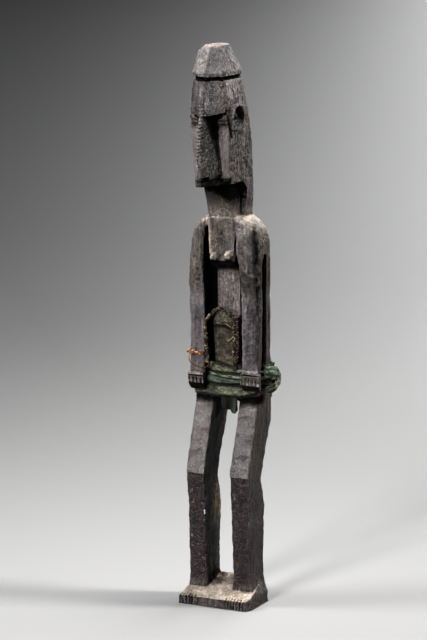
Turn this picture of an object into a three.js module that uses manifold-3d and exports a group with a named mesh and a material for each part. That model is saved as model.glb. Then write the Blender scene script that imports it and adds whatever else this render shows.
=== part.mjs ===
// Standing ancestor figure carved from one block of wood, dressed in a wrapped and knotted loin cloth,
// a frayed cloth panel on the belly and a string at the right wrist.
// Millimetres, +Z up. The figure faces -Y and its own left side is +X.
// The origin is the middle of the underside of the base.

import * as THREE from 'three';
import { ConvexGeometry } from 'three/addons/geometries/ConvexGeometry.js';
import { LoftGeometry } from 'three/addons/geometries/LoftGeometry.js';
import { mergeVertices } from 'three/addons/utils/BufferGeometryUtils.js';
import Module from 'manifold-3d';

const wasm = await Module();
wasm.setup();

// ---------------------------------------------------------------- driving dimensions

const GAP = 0.35; // clearance between two pieces that touch
const EDGE = 0.6; // smallest cut-off corner of a carved section
const SIDES = [-1, 1]; // the figure's right side, then its left side

const BLOCK_HALF = 41; // half the width of the block: base, hands, arms and back
const BACK_FRONT = 20; // front face of the flat back
const BACK_REAR = 32; // rear face of the flat back

const BASE = { front: -26, back: 26, toeTop: 10.5, heelTop: 27, topHalf: 37.3 };
const TOES = { width: 24, right: -28.8, left: 25.4, count: 5, cut: 1.6, depth: 2.2 };

const LEG = { inner: 14.8, outer: 37.3, kneeHeight: 143, crotchHeight: 221 };
const HIP_TOP = 262; // where the hips run out into the flat back

const TRUNK_HALF = 14.6; // half the width of the belly, chest and neck
const BELLY_FRONT = 13.8;
const CHEST = { bottom: 365.5, top: 421, frontLow: -3.4, frontHigh: -7.6 };
const BREAST = { offset: 8.6, height: 377.4, tip: -10.2, half: 5.6 };

const ARM = { inner: 22.5, outer: 41, back: 11.8, slotTop: 381 };
const HAND = { top: 249.4, knuckle: 238, bottom: 230.8, front: -3.2, back: 6.4, leftRise: 2.6 };
const ARMPIT_TOP = 413; // point of the gap between arm and chest

const HEAD = { half: 22.6, cheek: -31.4, jaw: 457, brow: 531, rim: 571, top: 602.5 };
const NOSE = { tip: -60.6, root: -54.3, bottom: 465.5, ridge: 1.5, rootHalf: 8.8, baseHalf: 14.7 };
const EAR = { y: -15, z: 526.8, radius: 14.2, front: -27, proud: 2.6, rightShift: 5.5 };

const CLOTH = { bottom: 223, top: 260, half: 42, leftRise: 9, topDrop: 5.5 };
const SASH = { bottom: 238.4, top: 250.6, half: 43.6 };
const KNOT = { inner: 44, outer: 54.6, front: 9, back: 36, bottom: 231, top: 263 };
const APRON = { front: 11.6, back: 12.8, bottomRight: 260.4, bottomLeft: 258.2 };

const RING_STRING = 1.6; // thickness of the ring tied round the wrist
const RING_HEIGHT = 271.4;
const LOOP_STRING = 1.2; // thickness of the slack loop that hangs from the ring

// ---------------------------------------------------------------- solid helpers

function solid(geometry) {
  const bare = new THREE.BufferGeometry();
  bare.setAttribute('position', geometry.attributes.position);
  bare.setIndex(geometry.index);
  const merged = mergeVertices(bare, 1e-4);
  return new wasm.Manifold(new wasm.Mesh({
    numProp: 3,
    vertProperties: new Float32Array(merged.attributes.position.array),
    triVerts: new Uint32Array(merged.index.array),
  }));
}

function join(solids) {
  return solids.reduce((sum, next) => sum.add(next));
}

function cut(body, cutters) {
  return cutters.reduce((rest, next) => rest.subtract(next), body);
}

function mesh(name, body, material) {
  const data = body.getMesh();
  const geometry = new THREE.BufferGeometry();
  geometry.setAttribute('position', new THREE.BufferAttribute(data.vertProperties, 3));
  geometry.setIndex(new THREE.BufferAttribute(data.triVerts, 1));
  geometry.computeVertexNormals();
  const result = new THREE.Mesh(geometry, material);
  result.name = name;
  return result;
}

// The convex body around a list of [x, y, z] corners.
function hull(corners) {
  return solid(new ConvexGeometry(corners.map(([x, y, z]) => new THREE.Vector3(x, y, z))));
}

// One level of a carved column: a rectangle with its front and back corners cut off.
function level(z, [x0, x1], [y0, y1], front = EDGE, back = EDGE) {
  return [
    [x0 + front, y0], [x1 - front, y0], [x1, y0 + front], [x1, y1 - back],
    [x1 - back, y1], [x0 + back, y1], [x0, y1 - back], [x0, y0 + front],
  ].map(([x, y]) => new THREE.Vector3(x, y, z));
}

// A carved column through its levels, listed from the bottom up.
function column(levels) {
  return solid(new LoftGeometry(levels, { capStart: true, capEnd: true }));
}

// Swaps and negates a pair of x values for the figure's right side.
function across(side, [inner, outer]) {
  return side > 0 ? [inner, outer] : [-outer, -inner];
}

// A V-shaped chisel cut from start to end, sunk along the inward direction.
function notch(start, end, inward, width, depth) {
  const a = new THREE.Vector3(...start);
  const b = new THREE.Vector3(...end);
  const into = new THREE.Vector3(...inward).normalize();
  const out = 2; // how far the cutter stands out of the surface
  const spread = new THREE.Vector3().crossVectors(b.clone().sub(a), into).normalize()
    .multiplyScalar((width / 2) * (1 + out / depth));
  const corners = [];
  for (const point of [a, b]) {
    corners.push(point.clone().addScaledVector(into, depth));
    corners.push(point.clone().addScaledVector(into, -out).add(spread));
    corners.push(point.clone().addScaledVector(into, -out).sub(spread));
  }
  return solid(new ConvexGeometry(corners));
}

// A round bar along x, y or z, given by the centre of each end.
function bar(start, end, radius, sides = 16) {
  const a = new THREE.Vector3(...start);
  const b = new THREE.Vector3(...end);
  const axis = b.clone().sub(a);
  const geometry = new THREE.CylinderGeometry(radius, radius, axis.length(), sides);
  geometry.applyQuaternion(new THREE.Quaternion().setFromUnitVectors(
    new THREE.Vector3(0, 1, 0), axis.normalize()));
  geometry.translate(...a.add(b).multiplyScalar(0.5).toArray());
  return solid(geometry);
}

// A cord or strand along a smooth curve through points.
function cord(points, radius, steps) {
  const path = new THREE.CatmullRomCurve3(points.map((p) => new THREE.Vector3(...p)), false, 'centripetal');
  const section = new THREE.Shape();
  section.absarc(0, 0, radius, 0, Math.PI * 2);
  return solid(new THREE.ExtrudeGeometry(section, {
    extrudePath: path, steps, curveSegments: 8, bevelEnabled: false,
  }));
}

// ---------------------------------------------------------------- base and feet

function makeBase() {
  const { front, back, toeTop, heelTop, topHalf } = BASE;
  const slab = hull([
    [-BLOCK_HALF, front, 0], [39.5, front + 0.4, 0], [43.4, -17, 0], [42, back, 0], [-BLOCK_HALF, back, 0],
    [-BLOCK_HALF + 0.6, front + 0.5, toeTop - 1], [38.6, front + 1, toeTop], [41.4, -17.6, toeTop + 2],
    [41.2, back, 12], [-BLOCK_HALF + 0.6, back, 12],
    [topHalf, back - 1, heelTop], [-topHalf, back - 1, heelTop],
  ]);
  const cuts = [];
  for (const centre of [TOES.right, TOES.left]) {
    for (let i = 1; i < TOES.count; i += 1) {
      const x = centre + TOES.width * (i / TOES.count - 0.5);
      const lean = 0.4 * (i % 2);
      cuts.push(notch([x + lean, front, -1], [x, front, toeTop + 3], [0, 1, 0], TOES.cut, TOES.depth));
      cuts.push(notch([x, front, toeTop], [x, front + 3.5, toeTop + 1.2], [0, 0, -1], TOES.cut, 1.6));
    }
  }
  return cut(slab, cuts);
}

// ---------------------------------------------------------------- legs and hips

function makeLeg(side) {
  const { inner, outer, kneeHeight } = LEG;
  const x = across(side, [inner, outer]);
  const tread = across(side, [inner - (side > 0 ? 1.6 : 0), outer + 1.4]);
  const shin = kneeHeight - 1.2;
  const leg = column([
    level(6, tread, [-6.5, 25], 2, 1),
    level(19, tread, [-7.4, 24.6], 2, 1),
    level(30, x, [-7.8, 24], 2, 1),
    level(55, x, [-9.4, 23.8], 2, 1),
    level(80, x, [-10.8, 24.5], 2, 1),
    level(105, x, [-11.7, 26.4], 2, 1),
    level(122, x, [-13.8, 22], 2, 1),
    level(134, x, [-15.3, 18.4], 2, 1),
    level(shin, x, [-15.9, 19.6], 2, 1),
    level(kneeHeight, x, [-17.1, 20], 1.2, 1),
    level(157, x, [-12.7, 23.4], 1.5, 1),
    level(179, x, [-5.9, 33.8], 1.5, 1),
    level(198, x, [-0.1, 42], 1.5, 1.5),
    level(216, x, [5.4, 46], 1.5, 4.5),
    level(LEG.crotchHeight + 3, x, [7.9, 46], 1.5, 5.5),
  ]);
  return side > 0 ? cut(leg, [makeKneeBevel()]) : leg;
}

// The left knee's outer corner is cut away up into the thigh.
function makeKneeBevel() {
  return hull([
    [31.5, -26, 142], [44, -10, 142], [44, -26, 142],
    [36.5, -16, 172], [44, -8, 172], [44, -16, 172],
    [36.8, -26, 118], [44, -14, 118], [44, -26, 118],
  ]);
}

// Levels of the hips; grow pushes every side face out, for the cloth that lies on them.
function hipLevels(grow) {
  const x = [-38.4 - grow, 38.4 + grow];
  return [
    level(LEG.crotchHeight, x, [7 - grow, 46.4 + grow], 3, 5),
    level(226, x, [8.6 - grow, 46.2 + grow], 3, 5),
    level(240, x, [12.8 - grow, 42.5 + grow], 3, 5),
    level(252, [-40 - grow, 40 + grow], [16.5 - grow, 36 + grow], 2, 3),
    level(HIP_TOP, [-BLOCK_HALF - grow, BLOCK_HALF + grow], [19.4 - grow, 33 + grow], 1, 2),
  ];
}

function bellyLevels(grow) {
  const x = [-TRUNK_HALF - 0.8 - grow, TRUNK_HALF + 0.8 + grow];
  return [
    level(LEG.crotchHeight + 0.5, x, [9.6 - grow, 30], 1, EDGE),
    level(232, x, [10.6 - grow, 30], 1, EDGE),
    level(262, x, [BELLY_FRONT - 0.4 - grow, 30], 1, EDGE),
    level(330, x, [BELLY_FRONT - grow, 30], 1, EDGE),
    level(CHEST.bottom + 4, x, [BELLY_FRONT - 0.8 - grow, 30], 1, EDGE),
  ];
}

// ---------------------------------------------------------------- trunk

function makeBack() {
  const x = [-BLOCK_HALF, BLOCK_HALF];
  return column([
    level(HIP_TOP - 6, x, [BACK_FRONT, 34.4], EDGE, 2),
    level(290, x, [BACK_FRONT, BACK_REAR + 0.4], EDGE, 2),
    level(340, x, [BACK_FRONT - 0.2, BACK_REAR], EDGE, 2),
    level(388, x, [BACK_FRONT, BACK_REAR], EDGE, 2.5),
  ]);
}

function makeChest() {
  const x = [-TRUNK_HALF - 1.2, TRUNK_HALF + 1.2];
  return column([
    level(CHEST.bottom, [x[0] + 2, x[1] - 1], [CHEST.frontLow + 1.6, 26], 2, EDGE),
    level(CHEST.bottom + 3, [x[0] + 1, x[1]], [CHEST.frontLow, 26], 2, EDGE),
    level(400, x, [CHEST.frontLow - 1, 26], 2, EDGE),
    level(CHEST.top - 1.5, x, [CHEST.frontHigh, 26], 2.5, EDGE),
  ]);
}

function makeBreast(side) {
  const { offset, height, tip, half } = BREAST;
  const x = side * offset;
  const z = height + side * 1.3;
  return hull([
    [x - half, -3, z + 1], [x + half, -3, z + 1.5], [x - 3, -3, z + 6.4], [x + 3.4, -3, z + 6.6],
    [x - 3.8, -3, z - 6.4], [x + 3.4, -3, z - 6.8],
    [x - 2.4, tip + 0.6, z + 1.4], [x + 1.6, tip, z + 2], [x - 2, tip + 1.2, z - 3.2], [x + 2.4, tip + 1.6, z - 3],
  ]);
}

// The shoulders: one arched outline, flat at the back, with worn bevels at the front and back edges.
function makeShoulders() {
  const arch = (inset, drop) => {
    const quarter = [
      [BLOCK_HALF, 388], [39.8, 397], [36.4 - inset, 408 - drop], [30 - inset, 415.4 - drop],
      [22 - inset, 420.2 - drop], [10, 421.8 - drop],
    ];
    const left = quarter.map(([x, z]) => [x - 0.4 * inset, z]);
    return [[BLOCK_HALF - 0.4 * inset, 379], ...left, ...left.map(([x, z]) => [-x, z]).reverse(),
      [-BLOCK_HALF + 0.4 * inset, 379]];
  };
  const plate = (y, inset, drop) => arch(inset, drop).map(([x, z]) => [x, y, z]);
  const arched = hull([
    ...plate(-4.4, 3.5, 3.5), ...plate(0.5, 0, 0.4), ...plate(28, 0, 0), ...plate(BACK_REAR, 2, 4),
  ]);
  return cut(arched, [...SIDES.map(makeArmpit), ...SIDES.map(makeArmBevel)]);
}

// The gap between an arm and the chest, running up to a point below the shoulder.
function makeArmpit(side) {
  const x = (value) => side * value;
  const front = -22;
  const rear = BACK_FRONT;
  const open = ARM.inner - (side > 0 ? 4 : 0.4); // the left gap is narrower
  return hull([
    [x(TRUNK_HALF), front, 370], [x(open), front, 370], [x(TRUNK_HALF), rear, 370], [x(open), rear, 370],
    [x(TRUNK_HALF + 1), front, 396], [x(open - 0.6), front, 396], [x(TRUNK_HALF + 1), rear, 396],
    [x(open - 0.6), rear, 396],
    [x(TRUNK_HALF + 1.6), front, ARMPIT_TOP + 3], [x(TRUNK_HALF + 1.6), rear - 10, ARMPIT_TOP],
    [x(TRUNK_HALF + 2.8), front, ARMPIT_TOP + 3],
  ]);
}

// ---------------------------------------------------------------- arms and hands

function makeArm(side) {
  const { inner, outer, back } = ARM;
  const swell = side > 0 ? 1 : 0; // the left upper arm is broader and stands further forward
  const x = across(side, [inner - 1.4 * swell, outer]);
  const biceps = across(side, [inner - 2.8 * swell, outer]);
  const upper = across(side, [inner - 4.8 * swell, outer]);
  const slim = across(side, [inner + 0.4 - swell, outer - 0.6]);
  const arm = column([
    level(HAND.top - 3, slim, [0.6, 9], 1.2, EDGE),
    level(259, slim, [-0.4, back - 0.6], 1.5, EDGE),
    level(290, x, [-0.6, back], 1.5, EDGE),
    level(325, x, [-1.2, back], 1.5, EDGE),
    level(336, x, [-1.6, back], 1.8, EDGE),
    level(341, x, [-3, back], 2, EDGE),
    level(354, x, [-4.6, back], 2, EDGE),
    level(370, biceps, [-5.6 - swell, back], 2, EDGE),
    level(ARM.slotTop, upper, [-6 - 2 * swell, back + 4], 2, EDGE),
    level(392, upper, [-6 - 2.4 * swell, BACK_FRONT + 1], 2, EDGE),
    level(404, across(side, [inner - 5 * swell, outer - 3.5]), [-5 - 2.6 * swell, BACK_FRONT + 1], 2, EDGE),
  ]);
  return cut(arm, [makeArmBevel(side)]);
}

// The broad chamfer down the front outer edge of the upper arm, dying out at the elbow,
// and a narrower one down the forearm.
function makeArmBevel(side) {
  const x = (value) => side * value;
  const upper = hull([
    [x(24), -10, 422], [x(42), 10, 422], [x(46), -12, 422],
    [x(30), -9, 402], [x(43), 5, 402], [x(46), -12, 402],
    [x(33), -8.5, 376], [x(43), 3.2, 376], [x(46), -10, 376],
    [x(39.4), -4.5, 340], [x(43), 0.4, 340], [x(46), -8, 340],
  ]);
  const lower = hull([
    [x(39.8), -3, 334], [x(43), 2.4, 334], [x(46), -6, 334],
    [x(36.6), -2.4, 298], [x(43), 6, 298], [x(46), -6, 298],
    [x(38.6), -2, 254], [x(43), 4.4, 254], [x(46), -6, 254],
  ]);
  return join([upper, lower]);
}

function makeHand(side) {
  const { front, back, leftRise } = HAND;
  const rise = side > 0 ? leftRise : 0; // the left hand is wider and a little higher
  const [top, knuckle, bottom] = [HAND.top + rise, HAND.knuckle + rise, HAND.bottom + rise];
  const [x0, x1] = side > 0 ? [20.9, 42.8] : [-41.3, -22.6];
  const palm = hull([
    [x0 + 0.6, front + 1.6, top + 1], [x1 - 0.6, front + 1.6, top + 1],
    [x0, front, top - 0.4], [x1, front, top - 0.4],
    [x0, front + 0.9, knuckle], [x1, front + 0.9, knuckle],
    [x0 + 0.8, 1.6, bottom], [x1 - 0.8, 1.6, bottom],
    [x0 + 0.8, back, bottom], [x1 - 0.8, back, bottom],
    [x0 + 0.6, back, top + 1], [x1 - 0.6, back, top + 1],
  ]);
  const fingers = side > 0 ? 5 : 4;
  const cuts = [];
  for (let i = 1; i < fingers + 1; i += 1) {
    const x = x0 + ((x1 - x0) * (i - (side > 0 ? 0.45 : 0.3))) / (fingers + 0.4);
    cuts.push(notch([x, front + 0.2, top - 4 - (i % 2)], [x + 0.3, front + 1.6, knuckle - 1.5],
      [0, 1, 0], 1.7, 2));
  }
  const ledge = notch([x0 - 1, front + 0.2, top - 2.6], [x1 + 1, front + 0.2, top - 3.1], [0, 1, 0], 1.1, 0.7);
  return cut(palm, [...cuts, ledge]);
}

// ---------------------------------------------------------------- neck and head

function makeNeck() {
  const x = [-TRUNK_HALF - 0.6, TRUNK_HALF + 0.6];
  const neck = column([
    level(CHEST.top - 6, x, [-5.4, 28], 1.5, EDGE),
    level(431, x, [-9.4, 28], 1.5, EDGE),
    level(450, x, [-17, 28], 1.5, EDGE),
    level(HEAD.jaw + 4, x, [-19.5, 28], 1.5, EDGE),
  ]);
  const nape = column([
    level(CHEST.top - 8, [-21.5, 21.5], [10.5, BACK_REAR], EDGE, 3),
    level(430, [-21.6, 21.6], [11, BACK_REAR], EDGE, 3.5),
    level(449, [-22.6, 22.6], [11.5, 30.8], EDGE, 3.5),
    level(HEAD.jaw + 3, [-22.9, 22.9], [8, 30], EDGE, 3.5),
  ]);
  return join([neck, nape]);
}

function makeSkull() {
  const { half, cheek, jaw, brow, rim } = HEAD;
  const wide = [-half, half];
  const skull = column([
    level(jaw, [-22.4, 22.4], [cheek + 1.4, 29.6], EDGE, 3.5),
    level(473, wide, [cheek + 0.4, 28.6], EDGE, 3.5),
    level(495, wide, [cheek, 27], EDGE, 3.5),
    level(514, wide, [cheek - 0.3, 22.6], EDGE, 3.5),
    level(brow, wide, [cheek - 0.4, 18], EDGE, 3.5),
    level(548, [-22, 22], [cheek + 1, 13.4], EDGE, 4),
    level(rim + 1, [-19.6, 19.6], [cheek + 2, 6.4], EDGE, 4.5),
  ]);
  const jawAngle = hull([
    [-22.6, 2, jaw + 1], [22.6, 2, jaw + 1], [-22.6, 13, 447.5], [22.6, 13, 447.5],
    [-22.6, 26, 447.5], [22.6, 26, 447.5], [-22.6, 26, jaw + 1], [22.6, 26, jaw + 1],
  ]);
  return cut(join([skull, jawAngle]), [makeJawBevel()]);
}

// The right cheek is planed back towards the jaw.
function makeJawBevel() {
  const { half, cheek, jaw } = HEAD;
  return hull([
    [-half - 2, cheek + 14, jaw - 3], [-13.5, cheek - 3, jaw - 3], [-half - 4, cheek - 6, jaw - 3],
    [-half - 2, cheek + 4, 496], [-half + 2, cheek - 3, 496], [-half - 4, cheek - 6, 496],
    [-half - 1, cheek, 515], [-half - 3, cheek - 3, 515],
  ]);
}

// The forehead is a broad wedge that overhangs the eyes.
function makeForehead() {
  const { half, brow, rim } = HEAD;
  return hull([
    [0, NOSE.root - 0.4, brow - 2.5], [-half, -32.6, brow + 3], [half, -33.6, brow + 3],
    [-12, -44, brow - 0.4], [12, -45, brow - 0.4], [0, -40, brow + 3],
    [-half, -10, brow + 5], [half, -10, brow + 5],
    [-21.6, -33, brow + 12], [22.2, -34.4, brow + 12], [0, NOSE.root + 0.6, brow + 10],
    [-4.5, -48.4, rim + 1], [4.5, -48.4, rim + 1], [-17.4, -34.6, rim + 1], [18.4, -37.4, rim + 1],
    [-19, -8, rim + 1], [19, -8, rim + 1],
  ]);
}

function makeNose() {
  const { tip, root, bottom, ridge, rootHalf, baseHalf } = NOSE;
  const { cheek, brow } = HEAD;
  const wedge = hull([
    [-ridge, root + 0.3, brow + 2], [ridge, root + 0.3, brow + 2],
    [-rootHalf, cheek + 3, brow + 2], [rootHalf, cheek + 3, brow + 2],
    [-ridge, root - 3.8, 505], [ridge, root - 3.8, 505],
    [-ridge, tip, bottom + 1], [ridge, tip, bottom + 1], [-ridge, tip + 1.6, bottom], [ridge, tip + 1.6, bottom],
    [-baseHalf, cheek + 2, bottom + 2.5], [baseHalf, cheek + 2, bottom + 2.5],
  ]);
  const ticks = [];
  for (let z = bottom + 5; z < brow - 2; z += 3.6) {
    const y = THREE.MathUtils.mapLinear(z, bottom, brow, tip, root);
    ticks.push(notch([-4, y, z], [4, y, z], [0, 1, 0], 0.9, 0.5));
  }
  return cut(wedge, ticks);
}

function makeChin() {
  const { jaw } = HEAD;
  const top = NOSE.bottom - 3.2;
  return hull([
    [-3.4, -58.6, top], [3.4, -58.6, top], [-3.4, -57.6, jaw - 0.6], [3.4, -57.6, jaw - 0.6],
    [-13.4, -38, top + 0.8], [13.4, -38, top + 0.8], [-13.4, -37, jaw - 0.6], [13.4, -37, jaw - 0.6],
    [-17, -24, top + 0.8], [17, -24, top + 0.8], [-17, -24, jaw], [17, -24, jaw],
  ]);
}

// The lips: the chin stands clear of the nose, and joins the face behind the mouth.
function makeMouthRoot() {
  return hull([
    [-9, -46, HEAD.jaw + 1], [9, -46, HEAD.jaw + 1], [-9, -46, 472], [9, -46, 472],
    [-12.6, -26, HEAD.jaw + 1], [12.6, -26, HEAD.jaw + 1], [-12.6, -26, 472], [12.6, -26, 472],
  ]);
}

// A wedge-shaped eyelid below the brow, split by two level cuts.
function makeEye(side) {
  const x = (value) => side * value;
  const y = HEAD.cheek;
  const lid = hull([
    [x(7.4), y - 1.2, 523.6], [x(7.4), y + 3, 520], [x(7.4), y + 3, 527], [x(10), y - 4.4, 524.6],
    [x(21.8), y - 3, 527.4], [x(22.4), y + 3, 523], [x(22.4), y + 3, 534], [x(20.6), y - 1.6, 534],
    [x(20), y - 1.4, 519.4], [x(9), y - 1.2, 518.4],
  ]);
  const slits = [
    notch([x(5), y - 3.6, 523.2], [x(25), y - 2.4, 525.4], [0, 1, -0.1], 1.2, 3),
    notch([x(5), y - 1.6, 519.8], [x(25), y - 1.6, 521.2], [0, 1, 0], 1, 1.6),
  ];
  return cut(lid, slits);
}

// The ear: a disc with a flat front edge, hollowed behind a small drilled boss.
function makeEar(side) {
  const { z, radius, proud } = EAR;
  const shift = side < 0 ? EAR.rightShift : 0; // the right ear sits further back
  const [y, front] = [EAR.y + shift, EAR.front + shift];
  const face = HEAD.half;
  const x = (value) => side * (face + value);
  const strip = hull([
    [x(-3), front - 5, z + 13.6], [x(-3), y, z + 14.1], [x(-3), front - 0.4, z - 13], [x(-3), y, z - 14.1],
    [x(proud), front - 4.6, z + 13.2], [x(proud), y, z + 14], [x(proud), front, z - 12.6], [x(proud), y, z - 14],
  ]);
  const disc = join([bar([x(-3), y, z], [x(proud), y, z], radius, 28), strip]);
  const hollow = bar([x(-0.4), y + 1, z + 0.6], [x(9), y + 1.6, z + 0.6], radius - 3, 24);
  const boss = bar([x(-2), y - 3.6, z - 0.4], [x(proud - 0.6), y - 3.6, z - 0.4], 4, 16);
  const hole = bar([x(-2.5), y - 3.6, z - 0.4], [x(9), y - 3.6, z - 0.4], 1.7, 12);
  return cut(join([cut(disc, [hollow]), boss]), [hole]);
}

// The deep slanting cut in front of the ear.
function makeEarCut(side) {
  const x = side * HEAD.half;
  return notch([x, -34.6, 537], [x, -23.8, 505], [-side, 0, 0], 3, 4.4);
}

// The cap: a tapered crown with eight flat sides that stands a little over the forehead.
function makeCap() {
  const { rim, top } = HEAD;
  const ring = (z, grow, outline) => outline
    .map(([x, y]) => [x + Math.sign(x) * grow, y + Math.sign(y + 20) * grow, z]);
  const brim = [
    [-6.5, -47.8], [7.5, -48.6], [18.6, -38.6], [20.2, 3], [15, 9.6], [-14, 9], [-19.8, 1], [-17.4, -36],
  ];
  const shoulder = [
    [-4, -37], [4.6, -37.6], [11.8, -31.4], [11.9, -4.6], [7.6, 1.8], [-8, 1.6], [-13.4, -5.6], [-14.4, -30.4],
  ];
  const crown = [
    [-4, -28.4], [4, -29.4], [8.6, -24.6], [9.2, -4.8], [5, -1], [-5, -1.4], [-9, -6], [-9, -22.6],
  ];
  return hull([
    ...ring(rim - 0.8, 0, brim), ...ring(rim + 3, 0.4, brim), ...ring(top - 6.8, 0, shoulder),
    ...ring(top, 0, crown),
  ]);
}

function makeCapGroove() {
  const depth = 1.4;
  const cuts = [];
  const ring = [[-6, -47.4], [7, -47.8], [18.6, -37.6], [19.6, 6.4], [-19.6, 6.4], [-17.4, -35.2]];
  ring.forEach(([x0, y0], i) => {
    const [x1, y1] = ring[(i + 1) % ring.length];
    const inward = new THREE.Vector3(y0 - y1, x1 - x0, 0).normalize().toArray();
    cuts.push(notch([x0, y0, HEAD.rim - 2], [x1, y1, HEAD.rim - 2], inward, 1.8, depth));
  });
  return join(cuts);
}

// ---------------------------------------------------------------- the carved block

function makeCarving() {
  const head = cut(
    join([makeSkull(), makeForehead(), makeNose(), makeMouthRoot(), makeChin(), ...SIDES.map(makeEye)]),
    [...SIDES.map(makeEarCut), makeCapGroove()],
  );
  return join([
    makeBase(),
    ...SIDES.map(makeLeg),
    column(hipLevels(0)),
    column(bellyLevels(0)),
    makeBack(),
    makeChest(),
    ...SIDES.map(makeBreast),
    makeShoulders(),
    ...SIDES.map(makeArm),
    ...SIDES.map(makeHand),
    makeNeck(),
    head,
    makeCap(),
    ...SIDES.map(makeEar),
  ]);
}

// ---------------------------------------------------------------- cloth

// One level of a cloth wrapped round the hips: front is the bulge over the belly, lap the front over
// the thighs, and back the rear over the buttocks.
function wrapLevel(z, half, front, lap, back) {
  const left = [
    [11, front], [17.5, front + 0.8], [20.4, lap], [half - 4, lap + 1], [half - 0.6, lap + 5.5],
    [half, 24], [half, back - 11], [half - 3, back - 4], [half - 11, back],
  ];
  const right = left.map(([x, y]) => [-x, y]).reverse();
  return [...right, ...left].map(([x, y]) => new THREE.Vector3(x, y, z));
}

// What the cloth lies on, swollen by its clearance.
function makeBody(clearance) {
  return [column(hipLevels(clearance)), column(bellyLevels(clearance)), makeBackCore(clearance)];
}

function makeBackCore(clearance) {
  const x = [-BLOCK_HALF - clearance, BLOCK_HALF + clearance];
  return column([
    level(HIP_TOP - 7, x, [BACK_FRONT - clearance, 34.6 + clearance], EDGE, 2),
    level(290, x, [BACK_FRONT - clearance, 34.6 + clearance], EDGE, 2),
  ]);
}

function makeHipCloth() {
  const { bottom, top, half } = CLOTH;
  const wrap = column([
    wrapLevel(bottom, half - 0.6, 4.8, 5, 49.2),
    wrapLevel(bottom + 7, half, 4.4, 6.8, 48.8),
    wrapLevel(SASH.bottom - 1.4, half, 5, 7.4, 46.6),
    wrapLevel(SASH.bottom - 0.4, half - 0.8, 8, 9.8, 45.4),
    wrapLevel(SASH.top + 0.4, half - 0.4, 8.2, 13, 40),
    wrapLevel(SASH.top + 1.6, half, 6, 12, 40.4),
    wrapLevel(top, half - 0.2, 7.2, 12.8, 38),
  ]);
  return cut(wrap, [...makeBody(GAP), makeHemRise(), makeTopDrop()]);
}

// The lower edge of the wrap climbs towards the knot on the left hip.
function makeHemRise() {
  const { bottom, leftRise } = CLOTH;
  return hull([-10, 60].flatMap((y) => [
    [10, y, bottom - 1], [48, y, bottom - 1], [16, y, bottom], [30, y, bottom + 0.4 * leftRise],
    [CLOTH.half, y, bottom + leftRise], [48, y, bottom + leftRise + 2],
  ]));
}

// The upper edge droops from right to left across the belly.
function makeTopDrop() {
  const { top, topDrop } = CLOTH;
  return hull([-10, 14.5].flatMap((y) => [
    [-14, y, top], [15, y, top - topDrop], [21, y, top - topDrop], [21, y, top + 2], [-14, y, top + 2],
  ]));
}

function makeSash() {
  const { bottom, top, half } = SASH;
  const wrap = column([
    wrapLevel(bottom, half - 0.6, 4.8, 7, 47.4),
    wrapLevel(244, half, 3.8, 7.2, 46),
    wrapLevel(246.8, half, 4.2, 9.6, 44.4),
    wrapLevel(top, half - 0.4, 5, 10.6, 42.2),
  ]);
  const core = column([
    wrapLevel(bottom - 2, CLOTH.half - 0.8 + GAP, 8 - GAP, 9.8 - GAP, 45.6 + GAP),
    wrapLevel(bottom - 0.4, CLOTH.half - 0.8 + GAP, 8 - GAP, 9.8 - GAP, 45.4 + GAP),
    wrapLevel(top + 0.4, CLOTH.half - 0.4 + GAP, 8.2 - GAP, 13 - GAP, 40 + GAP),
    wrapLevel(top + 2, CLOTH.half - 0.4 + GAP, 8.2 - GAP, 13 - GAP, 40 + GAP),
  ]);
  return cut(wrap, [core]);
}

// The knot: a lump of cloth on the left hip.
function makeKnot() {
  const { inner, outer, front, back, bottom, top } = KNOT;
  const middle = (bottom + top) / 2;
  return hull([
    [inner, front + 2, middle], [inner, back - 2, middle], [inner, 20, bottom + 2], [inner, 28, bottom + 2],
    [inner, 18, top - 4], [inner, 29, top - 4], [inner + 3, 20, bottom], [inner + 3, 27, bottom],
    [inner + 1.5, 20, top], [inner + 2, 27, top],
    [outer - 5, front, middle], [outer - 5, back, middle - 1], [outer - 5, 19, bottom + 7],
    [outer - 6, 28, bottom + 6], [outer - 5, 19, top - 8], [outer - 6, 28, top - 8],
    [outer, 19, middle + 2], [outer, 27, middle + 2], [outer, 20, middle - 3], [outer, 26, middle - 3],
  ]);
}

// The free end of the sash, hanging between the thighs.
function makeTail() {
  const top = CLOTH.bottom - GAP;
  return hull([
    [-4, 2.8, top], [13.6, 2.6, top], [-3.6, 6, top], [13.4, 6, top],
    [-1.5, 2.4, 217.5], [13.6, 1.8, 217], [-0.6, 5, 217.5], [13.2, 5, 217],
    [7.9, 2.2, 209.6], [11.6, 2, 209], [8.4, 4.4, 209.8], [11.2, 4.4, 209.4],
  ]);
}

// A flat cloth panel that stands against the belly behind the top of the wrap.
function makeApron() {
  const { front, back, bottomRight, bottomLeft } = APRON;
  const outline = new THREE.Shape([
    [-13.8, bottomRight], [3.8, bottomLeft], [4.6, 285], [5.2, 304], [4.8, 309], [-2.6, 313.4],
    [-10.4, 317.4], [-15.6, 310.6], [-16.8, 302], [-15.2, 280],
  ].map(([x, z]) => new THREE.Vector2(x, z)));
  const panel = new THREE.ExtrudeGeometry(outline, { depth: back - front, bevelEnabled: false });
  panel.rotateX(Math.PI / 2);
  panel.translate(0, back, 0);
  return solid(panel);
}

// The panel's rolled and frayed border: a strand beside the right wrist, over the top and down the left.
function makeApronBorder() {
  const y = APRON.front - GAP - 1.7;
  const route = [
    [-17.6, -2.8, 262], [-17.7, -3, 272], [-18.9, -3, 282], [-19.9, -3, 296], [-20, -2, 305.4], [-16.2, 4, 313],
    [-10.6, y, 318.4], [-3.4, y, 315.2], [4.4, y, 311], [7.2, y, 301.6], [8.4, y, 290], [8.6, y, 276],
    [7.6, y, 259],
  ];
  return cord(route, 1.6, 44);
}

// ---------------------------------------------------------------- wrist string

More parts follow.
